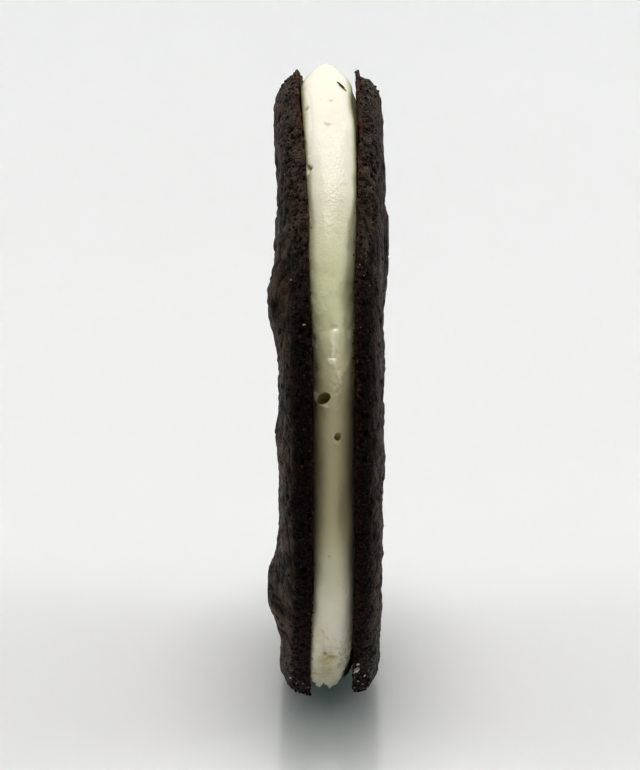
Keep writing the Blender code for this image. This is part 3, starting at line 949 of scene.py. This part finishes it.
# %% Helpers for materials
def linear(hex_colour):
    values = [int(hex_colour[i:i + 2], 16) / 255.0 for i in (0, 2, 4)]
    return [v / 12.92 if v <= 0.04045 else ((v + 0.055) / 1.055) ** 2.4 for v in values] + [1.0]


def add(tree, kind, inputs=None, out=0, **settings):
    """Add a node and return one of its outputs. Inputs are values or sockets to link."""
    node = tree.nodes.new(kind)
    for name, value in settings.items():
        setattr(node, name, value)
    for name, value in (inputs or {}).items():
        if isinstance(value, bpy.types.NodeSocket):
            tree.links.new(value, node.inputs[name])
        else:
            node.inputs[name].default_value = value
    return node.outputs[out]


def new_material(name, **sockets):
    """A material with a Principled shader whose sockets are set by name."""
    made = bpy.data.materials.new(name)
    made.use_nodes = True
    shader = made.node_tree.nodes["Principled BSDF"]
    for socket, value in sockets.items():
        shader.inputs[socket.replace("_", " ")].default_value = value
    return made, made.node_tree, shader


FACTOR, FIRST, SECOND, MIXED = 0, 6, 7, 2     # sockets of a Mix node set to colours
ATTRIBUTE, NOISE, RANGE = "ShaderNodeAttribute", "ShaderNodeTexNoise", "ShaderNodeMapRange"
MIX, MATH, CELLS = "ShaderNodeMix", "ShaderNodeMath", "ShaderNodeTexVoronoi"
COLOURS = {"out": MIXED, "data_type": "RGBA"}
TIMES, TIMES_PLUS = {"operation": "MULTIPLY"}, {"operation": "MULTIPLY_ADD"}
SMOOTH = {"interpolation_type": "SMOOTHSTEP"}
FINE = {"Detail": 3.0, "Roughness": 0.6}      # of a noise with three sizes of grain
print("white is", linear("ffffff")[:3])

# %% [markdown]
# Baked cocoa dough is nearly black, because cocoa browns as it bakes, and it
# is matt, because its surface is all crumbs and pores. The eye tells it from
# soot by three things: single granules that are lighter or redder than the
# rest, a greyer, smoother skin where the dough dried, and a rusty edge where
# it baked thinnest. Granules are Voronoi cells, each with its own random
# shade. The right cookie's skin is a little darker. Shade is painted near
# black into the hollows, and sheen is painted on as a pale dusty tone.

# %% Baked cocoa dough
GRAIN, GRANULE, PATCH, RUST_PATCH = 0.22, 0.42, 1.7, 0.55        # mm

dough, tree, shader = new_material("baked cocoa dough", Specular_IOR_Level=0.2)
coords = add(tree, "ShaderNodeTexCoord", out="Object")
painted_hollow_shade, skin, rusty, skin_darkness, dust_and_painted_sheen = (
    add(tree, ATTRIBUTE, out="Fac", attribute_name=mask)
    for mask in ("painted_hollow_shade", "skin", "rust", "skin_darkness", "dust_and_painted_sheen"))
grain, patch, rust_noise = (
    add(tree, NOISE, {"Vector": coords, "Scale": 1 / (size * MM), **FINE})
    for size in (GRAIN, PATCH, RUST_PATCH))
granule = add(tree, CELLS, {"Vector": coords, "Scale": 1 / (GRANULE * MM)})
shades = add(tree, "ShaderNodeSeparateColor", {0: granule.node.outputs["Color"]})
dome = add(tree, RANGE, {"Value": granule, "From Min": 0.05, "From Max": 0.5, "To Min": 1.0, "To Max": 0.0})

# The rim: dark grain with single granules that are lighter or redder.
dark = add(tree, RANGE, {"Value": grain, "From Min": 0.36, "From Max": 0.66}, **SMOOTH)
rim_colour = add(tree, MIX, {FACTOR: dark, FIRST: linear("030202"), SECOND: linear("22130c")}, **COLOURS)
redness = shades.node.outputs[1]
for shade, low, high, tone in ((shades, 0.55, 0.95, "4a2e1e"), (redness, 0.90, 0.96, "7c4422")):
    chosen = add(tree, RANGE, {"Value": shade, "From Min": low, "From Max": high})
    chosen = add(tree, MATH, {0: chosen, 1: dome}, **TIMES)
    rim_colour = add(tree, MIX, {FACTOR: chosen, FIRST: rim_colour, SECOND: linear(tone)}, **COLOURS)

# The skin: greyer patches, mottled dark, and darker on the right cookie.
greyer = add(tree, RANGE, {"Value": patch, "From Min": 0.34, "From Max": 0.68}, **SMOOTH)
mottled = add(tree, RANGE, {"Value": grain, "From Min": 0.42, "From Max": 0.62, "To Max": 0.65})
darker_skin = add(tree, MATH, {0: skin_darkness, 1: 0.35}, **TIMES)
skin_colour = linear("403126")
for share, shade in ((greyer, "6f5d4f"), (mottled, "1e140f"), (darker_skin, "0c0807")):
    skin_colour = add(tree, MIX, {FACTOR: share, FIRST: skin_colour, SECOND: linear(shade)}, **COLOURS)

# Over both: a pale dusty tone painted as sheen, rust at the thin edge, and black painted as shade in the
# hollows.
dust_and_sheen = add(tree, MATH, {0: grain, 1: 0.6, 2: patch}, **TIMES_PLUS)
dust_and_sheen = add(tree, RANGE, {"Value": dust_and_sheen, "From Min": 0.66, "From Max": 0.95, "To Min": 0.05, "To Max": 0.85})
dust_and_sheen = add(tree, MATH, {0: dust_and_sheen, 1: dust_and_painted_sheen}, **TIMES)
rust = add(tree, RANGE, {"Value": rust_noise, "From Min": 0.46, "From Max": 0.62})
rust = add(tree, MATH, {0: rust, 1: rusty}, **TIMES)
# Painted shade: near black in the hollows.
hollow_shade = add(tree, RANGE, {"Value": painted_hollow_shade, "From Min": 0.05, "From Max": 0.8, "To Max": 0.88})
colour = add(tree, MIX, {FACTOR: skin, FIRST: rim_colour, SECOND: skin_colour}, **COLOURS)
for share, shade in ((dust_and_sheen, "706256"), (rust, "6a3a22"), (hollow_shade, "040302")):
    colour = add(tree, MIX, {FACTOR: share, FIRST: colour, SECOND: linear(shade)}, **COLOURS)
tree.links.new(colour, shader.inputs["Base Color"])

rough = add(tree, RANGE, {"Value": grain, "From Min": 0.35, "From Max": 0.62, "To Min": 0.70, "To Max": 0.30})
tree.links.new(rough, shader.inputs["Roughness"])
relief = add(tree, MATH, {0: dome, 1: 0.5, 2: grain}, **TIMES_PLUS)
bump = add(tree, "ShaderNodeBump", {"Height": relief, "Strength": 1.0, "Distance": 0.24 * MM})
tree.links.new(bump, shader.inputs["Normal"])
for cookie in (left_cookie, right_cookie):
    cookie.data.materials.append(dough)
print("nodes in the dough:", len(tree.nodes))

# %% [markdown]
# Butter cream is fat and sugar beaten with air. Fat lets light in a little
# way, so shadows on it are soft and warm, and fine sugar keeps it from being
# glossy, except where a knife drew the fat to the surface. It is ivory where
# fresh, with painted shade, green and brown, in the hollow between the cookies
# and olive in its holes and dents, ochre at the torn end, and whitest where a
# wet smear was dragged over it, which is white cream with a painted highlight.

# %% Piped butter cream
DRAG, FINE_SUGAR, PEBBLE = 0.9, 0.35, 0.30     # mm

cream_material, tree, shader = new_material(
    "piped butter cream", Subsurface_Weight=0.25, Subsurface_Scale=0.9 * MM, Specular_IOR_Level=0.45)
shader.inputs["Subsurface Radius"].default_value = (1.0, 0.85, 0.6)
coords = add(tree, "ShaderNodeTexCoord", out="Object")
colour = linear("f3efe0")
# Of these layers, the first two and the fourth are painted shade, the third is a real stain, and the last is
# white cream with a painted highlight.
for mask, strength, shade in (("sunk", 0.55, "cccf94"), ("browned", 1.0, "d8ceac"), ("stain", 0.85, "b8a058"),
                              ("inside", 0.85, "a8964f"), ("smear_and_highlight", 1.0, "fffbe8")):
    found = add(tree, ATTRIBUTE, out="Fac", attribute_name=mask)
    found = add(tree, MATH, {0: found, 1: strength}, **TIMES)
    colour = add(tree, MIX, {FACTOR: found, FIRST: colour, SECOND: linear(shade)}, **COLOURS)
tree.links.new(colour, shader.inputs["Base Color"])
wet, smear_and_highlight, pebbly = (
    add(tree, ATTRIBUTE, out="Fac", attribute_name=mask) for mask in ("wet", "smear_and_highlight", "pebbly"))
rough = add(tree, RANGE, {"Value": wet, "To Min": 0.48, "To Max": 0.32})
rough = add(tree, MATH, {0: smear_and_highlight, 1: -0.26, 2: rough}, **TIMES_PLUS)
tree.links.new(rough, shader.inputs["Roughness"])
drawn = add(tree, "ShaderNodeMapping", {"Vector": coords, "Scale": (0.22, 1.0, 1.0)})
drags = add(tree, NOISE, {"Vector": drawn, "Scale": 1 / (DRAG * MM), **FINE})
sugar = add(tree, NOISE, {"Vector": coords, "Scale": 1 / (FINE_SUGAR * MM), "Detail": 2.0})
relief = add(tree, MATH, {0: drags, 1: 0.5, 2: sugar}, **TIMES_PLUS)
pebbles = add(tree, NOISE, {"Vector": coords, "Scale": 1 / (PEBBLE * MM), "Detail": 1.0})
pebbles = add(tree, MATH, {0: pebbles, 1: pebbly}, **TIMES)
relief = add(tree, MATH, {0: pebbles, 1: 4.0, 2: relief}, **TIMES_PLUS)
bump = add(tree, "ShaderNodeBump", {"Height": relief, "Strength": 1.0, "Distance": 0.05 * MM})
tree.links.new(bump, shader.inputs["Normal"])
cream.data.materials.append(cream_material)
print("nodes in the cream:", len(tree.nodes))

# %% [markdown]
# Loose things need simple finishes: rust-brown crumbs of the thin edge, black
# crumbs of the rim, and sugar, which is clear but looks grey over dark dough;
# its crystals are given a grey to pale body and a gloss, which paint the
# glints on the lit rim. Lumps of coarse sugar are thick enough to look white,
# and their near-white body is partly a painted highlight.

# %% Crumbs and sugar
def crumb_material(name, low, high, **sockets):
    """A plain finish whose colour varies from place to place, and so from crumb to crumb."""
    made, tree, shader = new_material(name, **sockets)
    coords = add(tree, "ShaderNodeTexCoord", out="Object")
    varied = add(tree, NOISE, {"Vector": coords, "Scale": 1 / (0.6 * MM), "Detail": 2.0})
    share = add(tree, RANGE, {"Value": varied, "From Min": 0.35, "From Max": 0.65})
    mixed = add(tree, MIX, {FACTOR: share, FIRST: linear(low), SECOND: linear(high)}, **COLOURS)
    tree.links.new(mixed, shader.inputs["Base Color"])
    return made


rust_crumb = crumb_material("toasted crumb", "2c140b", "8c4f2e", Roughness=0.7, Specular_IOR_Level=0.3)
black_crumb = crumb_material("cocoa crumb", "0a0605", "33211a", Roughness=0.6, Specular_IOR_Level=0.3)
# The crystals' pale body paints the glints on the lit rim.
sugar_and_glint_finish = crumb_material("sugar crystal", "45403a", "beb7ab", Roughness=0.2)
# The near-white body is coarse sugar and partly a painted highlight.
coarse_sugar_and_glint_finish = crumb_material("coarse sugar", "a8a49c", "f4f1ea", Roughness=0.12)
tan_crumb = crumb_material("toasted flake", "8c6a45", "c9a878", Roughness=0.6)
print("finishes for loose things:", 5)

# %% [markdown]
# ## Crumbs and sugar
#
# Geometry Nodes strew them. One tree serves every kind: it takes the surface
# of both cookies or of the cream, drops points where a named mask allows them,
# puts a tumbled grain on each, and makes the grains real. Its sizes are named
# inputs, and every random choice has a fixed seed. The grains sit half in the
# surface.

# %% Tree that strews
RANDOM = "FunctionNodeRandomValue"
FULL_TURN = 6.28            # radians, near enough for a tumbled grain
DENTED = 0.35               # mm between the dents that make each grain different


def strew_tree():
    tree = bpy.data.node_groups.new("strew", "GeometryNodeTree")
    sockets = (("Left", "Object"), ("Right", "Object"), ("Grain", "Object"), ("Mask", "String"),
               ("Per square metre", "Float"), ("Smallest", "Float"), ("Largest", "Float"),
               ("Jitter", "Float"), ("Seed", "Int"), ("Finish", "Material"))
    for name, kind in sockets:
        tree.interface.new_socket(name, in_out="INPUT", socket_type="NodeSocket" + kind)
    tree.interface.new_socket("Geometry", in_out="OUTPUT", socket_type="NodeSocketGeometry")
    given = tree.nodes.new("NodeGroupInput").outputs
    join = tree.nodes.new("GeometryNodeJoinGeometry")
    for side in ("Left", "Right"):
        surface = add(tree, "GeometryNodeObjectInfo", {"Object": given[side]}, out="Geometry")
        tree.links.new(surface, join.inputs[0])
    allowed = add(tree, "GeometryNodeInputNamedAttribute", {"Name": given["Mask"]}, data_type="FLOAT")
    density = add(tree, MATH, {0: allowed, 1: given["Per square metre"]}, **TIMES)
    points = add(tree, "GeometryNodeDistributePointsOnFaces",
                 {"Mesh": join.outputs[0], "Density": density, "Seed": given["Seed"]})
    tumble = add(tree, RANDOM, {"Min": (0.0, 0.0, 0.0), "Max": (FULL_TURN, FULL_TURN, FULL_TURN),
                                "Seed": given["Seed"]}, data_type="FLOAT_VECTOR")
    size = add(tree, RANDOM, {2: given["Smallest"], 3: given["Largest"], "Seed": given["Seed"]},
               out=1, data_type="FLOAT")
    shape = add(tree, "GeometryNodeObjectInfo", {"Object": given["Grain"]}, out="Geometry")
    grains = add(tree, "GeometryNodeInstanceOnPoints",
                 {"Points": points, "Instance": shape, "Rotation": tumble, "Scale": size})
    real = add(tree, "GeometryNodeRealizeInstances", {"Geometry": grains})
    bent = add(tree, NOISE, {"Scale": 1 / (DENTED * MM)}, out="Color")
    bent = add(tree, "ShaderNodeVectorMath", {0: bent, 1: (0.5, 0.5, 0.5)}, operation="SUBTRACT")
    bent = add(tree, "ShaderNodeVectorMath", {0: bent, "Scale": given["Jitter"]}, operation="SCALE")
    moved = add(tree, "GeometryNodeSetPosition", {"Geometry": real, "Offset": bent})
    done = add(tree, "GeometryNodeSetMaterial", {"Geometry": moved, "Material": given["Finish"]})
    tree.links.new(done, tree.nodes.new("NodeGroupOutput").inputs[0])
    return tree


def strewn(name, tree, **values):
    """A plain mesh object of grains, made by the tree with these inputs."""
    piece = show(name, bpy.data.meshes.new(name))
    modifier = piece.modifiers.new("strew", "NODES")
    modifier.node_group = tree
    identifiers = {item.name: item.identifier for item in tree.interface.items_tree if item.in_out == "INPUT"}
    for socket, value in values.items():
        modifier[identifiers[socket.replace("_", " ")]] = value
    mesh = applied(piece)
    mesh.name = name
    move_vertices(mesh, vertex_places(mesh))
    print(name, "has", len(mesh.polygons), "faces")
    return piece


def grain_shape(name, cube=False):
    """A solid 1 m across, to be scaled: an icosahedron, or a cube."""
    solid = bmesh.new()
    if cube:
        bmesh.ops.create_cube(solid, size=1.0)
    else:
        bmesh.ops.create_icosphere(solid, subdivisions=1, radius=0.5)
    mesh = bpy.data.meshes.new(name)
    solid.to_mesh(mesh)
    solid.free()
    return show(name, mesh)


# %% Strew
strew = strew_tree()
chip = grain_shape("chip_shape")
cube = grain_shape("cube_shape", cube=True)
both = {"Left": left_cookie, "Right": right_cookie}
PER_MM2 = 1.0e6
# name, grain, mask, grains in a square mm, smallest, largest, jitter in mm, finish, surfaces
STREWN = (
    ("cocoa_crumbs", chip, "crumbs", 1.2, 0.22, 0.52, 0.25, black_crumb, both),
    ("toasted_crumbs", chip, "rust", 1.6, 0.12, 0.30, 0.2, rust_crumb, both),
    ("sugar_crystals", cube, "sugar", 2.2, 0.06, 0.16, 0.06, sugar_and_glint_finish, both),
    ("crumbs_on_cream", chip, "margin", 0.40, 0.10, 0.26, 0.15, rust_crumb, {"Left": cream}),
)
black_crumbs, rust_crumbs, sugar_and_glint_grains, margin_crumbs = (
    strewn(name, strew, Grain=shape, Mask=mask, Per_square_metre=density * PER_MM2, Smallest=smallest * MM,
           Largest=largest * MM, Jitter=jitter * MM, Seed=seed, Finish=finish, **surfaces)
    for seed, (name, shape, mask, density, smallest, largest, jitter, finish, surfaces)
    in enumerate(STREWN, start=1))
for shape in (chip, cube):
    bpy.data.objects.remove(shape)

# %% [markdown]
# A few single things are placed one by one: coarse sugar at the cookies' feet,
# white partly as a painted highlight, toasted flakes on both cookies, and a
# sliver of cocoa nib pressed into the cream near the top, with a pale broken end.

# %% Single grains
# cookie, and its grains: angle, place across, size, tumble in degrees
COARSE_SUGAR = (
    (right_cookie, (
        (-50.0, 3.60, 0.90, (20.0, 35.0, 10.0)), (-47.6, 4.00, 0.42, (50.0, 10.0, 30.0)),
        (-52.5, 3.45, 0.26, (10.0, 50.0, 70.0)), (-54.0, 4.75, 0.36, (35.0, 20.0, 60.0)),
        (-57.5, 3.95, 0.34, (60.0, 30.0, 20.0)), (-60.5, 4.60, 0.28, (15.0, 70.0, 40.0)),
        (-62.0, 3.60, 0.30, (40.0, 40.0, 0.0)),
    )),
    (left_cookie, (
        (-57.9, -5.50, 0.36, (25.0, 15.0, 50.0)), (-56.8, -3.75, 0.32, (55.0, 35.0, 5.0)),
        (-59.6, -4.65, 0.30, (30.0, 60.0, 25.0)), (-60.8, -4.30, 0.26, (5.0, 25.0, 80.0)),
        (-61.4, -3.00, 0.28, (70.0, 5.0, 35.0)), (-53.0, -4.60, 0.20, (20.0, 20.0, 20.0)),
        (30.8, -5.10, 0.24, (45.0, 15.0, 55.0)),
    )),
)
FLAKES = (
    (left_cookie, ((22.6, -3.25, 0.50, (10.0, 40.0, 20.0)), (-31.4, -2.75, 0.26, (30.0, 20.0, 70.0)))),
    (right_cookie, ((66.0, 3.60, 0.30, (50.0, 10.0, 10.0)), (-17.5, 3.40, 0.26, (20.0, 60.0, 30.0)))),
)


def cut_grain(grains, cookie, spot, proportions):
    """Add a cube with bevelled edges, sunk part way into its cookie."""
    near_at, across_at, size, tumble = spot
    place, normal = spot_on(cookie.data, near_at, across_at)
    turn = Euler([math.radians(angle) for angle in tumble]).to_matrix().to_4x4()
    matrix = Matrix.Translation(place + normal * (0.2 * size * MM)) @ frame_at(normal, 0.0) @ turn
    matrix = matrix @ Matrix.Diagonal([size * MM * share for share in proportions] + [1.0])
    made = bmesh.ops.create_cube(grains, size=1.0, matrix=matrix)
    edges = list({edge for vertex in made["verts"] for edge in vertex.link_edges})
    bmesh.ops.bevel(grains, geom=edges, offset=0.16 * size * MM, segments=1, affect="EDGES")


def placed_grains(name, table, proportions):
    """One piece of the cut grains that a table places."""
    grains = bmesh.new()
    for cookie, spots in table:
        for spot in spots:
            cut_grain(grains, cookie, spot, proportions)
    mesh = bpy.data.meshes.new(name)
    grains.to_mesh(mesh)
    grains.free()
    move_vertices(mesh, vertex_places(mesh))
    print(name, "has", sum(len(spots) for _, spots in table), "grains")
    return show(name, mesh)


coarse_sugar = placed_grains("coarse_sugar", COARSE_SUGAR, (1.0, 0.8, 0.7))
flakes = placed_grains("toasted_flakes", FLAKES, (1.0, 0.6, 0.3))
coarse_sugar.data.materials.append(coarse_sugar_and_glint_finish)
flakes.data.materials.append(tan_crumb)

# %% Cocoa nib in the cream
NIB_FROM, NIB_TO = (79.3, 0.90), (75.9, 2.20)
NIB_WIDTHS = (0.04, 0.15, 0.22, 0.24, 0.21, 0.08)       # mm, half the width at even steps
nib = bmesh.new()
sections = []
for step, half_width in enumerate(NIB_WIDTHS):
    share = step / (len(NIB_WIDTHS) - 1)
    rim_spot = [start + (end - start) * share for start, end in zip(NIB_FROM, NIB_TO)]
    place, normal = spot_on(cream.data, *rim_spot)
    place += normal * (0.10 * MM)
    sideways = frame_at(normal, 55.0).to_3x3() @ Vector((1.0, 0.0, 0.0))
    corners = (sideways, normal, -sideways, -normal)
    lengths = (1.0, 0.75, 1.0, 0.75)
    sections.append([nib.verts.new(place + corner * (length * half_width * MM))
                     for corner, length in zip(corners, lengths)])
for first, second in zip(sections, sections[1:]):
    for side in range(4):
        nib.faces.new((first[side], first[side - 1], second[side - 1], second[side]))
nib.faces.new(sections[0])
nib.faces.new(sections[-1][::-1])
bmesh.ops.recalc_face_normals(nib, faces=nib.faces)
nib_mesh = bpy.data.meshes.new("cocoa_nib")
nib.to_mesh(nib_mesh)
nib.free()
cocoa_nib = show("cocoa_nib", nib_mesh)
nib_material = crumb_material("broken cocoa nib", "140a07", "4a2c18", Roughness=0.5)
nib_mesh.materials.append(nib_material)
nib_mesh.materials.append(tan_crumb)
for face in nib_mesh.polygons[-5:]:
    face.material_index = 1
print("nib faces:", len(nib_mesh.polygons))

# %% [markdown]
# ## The stage
#
# A white acrylic sheet runs far behind the cookie and under it. It is
# translucent, so some light spreads inside it into the contact shadow, and
# its polish mirrors the cookie's foot softly.

# %% Floor
FLOOR_HALF_SIZE = 12.0

floor_mesh = bpy.data.meshes.new("acrylic_floor")
corners = [(-FLOOR_HALF_SIZE, -FLOOR_HALF_SIZE, 0.0), (FLOOR_HALF_SIZE, -FLOOR_HALF_SIZE, 0.0),
           (FLOOR_HALF_SIZE, FLOOR_HALF_SIZE, 0.0), (-FLOOR_HALF_SIZE, FLOOR_HALF_SIZE, 0.0)]
floor_mesh.from_pydata(corners, [], [(0, 1, 2, 3)])
floor = show("acrylic_floor", floor_mesh)
acrylic, tree, shader = new_material(
    "white acrylic sheet", Roughness=0.15, IOR=1.5, Base_Color=(0.75, 0.754, 0.752, 1.0),
    Subsurface_Weight=1.0, Subsurface_Scale=26.0 * MM)
shader.subsurface_method = "BURLEY"
shader.inputs["Subsurface Radius"].default_value = (0.85, 1.0, 0.97)
floor.data.materials.append(acrylic)

# %% [markdown]
# ## Light
#
# The light of a product table: a wide soft source overhead, weaker and cooler
# ones from both sides, the right one stronger, and a bright backdrop behind.
# Next to nothing comes from the front, so the middle of the rim that faces
# the camera is the darkest part of the cream.

# %% Light
WHITE_IRRADIANCE = math.pi     # a sun of this strength lights white to 1
WARM, PLAIN, COOL = (1.035, 1.0, 0.985), (1.0, 1.0, 0.995), (0.955, 1.0, 1.005)
WORLD_COLOUR = (0.985, 1.0, 1.0)
SUNS = (
    # name, tilt to the right and to the back in degrees, angle, brightness, colour
    ("overhead", 0.0, 0.0, 28.0, 0.385, WARM),
    ("over_the_front", 0.0, -20.0, 25.0, 0.050, PLAIN),
    ("wide_overhead", 0.0, 0.0, 100.0, 0.105, PLAIN),
    ("from_the_right", 60.0, 0.0, 30.0, 0.150, COOL),
    ("from_the_left", -60.0, 0.0, 30.0, 0.120, COOL),
)
BACKDROP, RIGHT_WALL, LEFT_WALL, REST_OF_ROOM = 0.55, 0.20, 0.11, 0.01

for name, right, back, angle, brightness, tint in SUNS:
    data = bpy.data.lights.new(name, "SUN")
    data.energy = brightness * WHITE_IRRADIANCE
    data.angle = math.radians(angle)
    data.color = tint
    lamp = bpy.data.objects.new(name, data)
    bpy.context.scene.collection.objects.link(lamp)
    towards = Vector((math.tan(math.radians(right)), math.tan(math.radians(back)), 1.0))
    lamp.rotation_euler = towards.to_track_quat("Z", "Y").to_euler()

world = bpy.data.worlds.new("studio")
bpy.context.scene.world = world
world.use_nodes = True
tree = world.node_tree
generated = add(tree, "ShaderNodeTexCoord", out="Generated")
direction = add(tree, "ShaderNodeSeparateXYZ", {0: generated}).node.outputs
behind = add(tree, MATH, {0: direction["Y"], 1: 0.0}, operation="MAXIMUM")
glow = REST_OF_ROOM
for side, brightness in ((1.0, RIGHT_WALL), (-1.0, LEFT_WALL)):
    beside = add(tree, MATH, {0: direction["X"], 1: side}, **TIMES)
    beside = add(tree, MATH, {0: beside, 1: 0.0}, operation="MAXIMUM")
    glow = add(tree, MATH, {0: beside, 1: brightness, 2: glow}, **TIMES_PLUS)
glow = add(tree, MATH, {0: behind, 1: BACKDROP, 2: glow}, **TIMES_PLUS)
tree.links.new(glow, tree.nodes["Background"].inputs["Strength"])
tree.nodes["Background"].inputs["Color"].default_value = WORLD_COLOUR + (1.0,)
bpy.context.scene.view_settings.view_transform = "Standard"
bpy.context.scene.view_settings.look = "High Contrast"

# %% [markdown]
# ## Hand over
#
# Each detailed piece rides on the one body and stands for its plain solid.

# %% Hand over
for piece, node in ((left_cookie, "left_cookie"), (right_cookie, "right_cookie"), (cream, "cream_filling")):
    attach(piece, "root")
    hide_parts(node)
for piece in (black_crumbs, rust_crumbs, margin_crumbs, sugar_and_glint_grains, coarse_sugar, flakes):
    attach(piece, "root")
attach(cocoa_nib, "root")
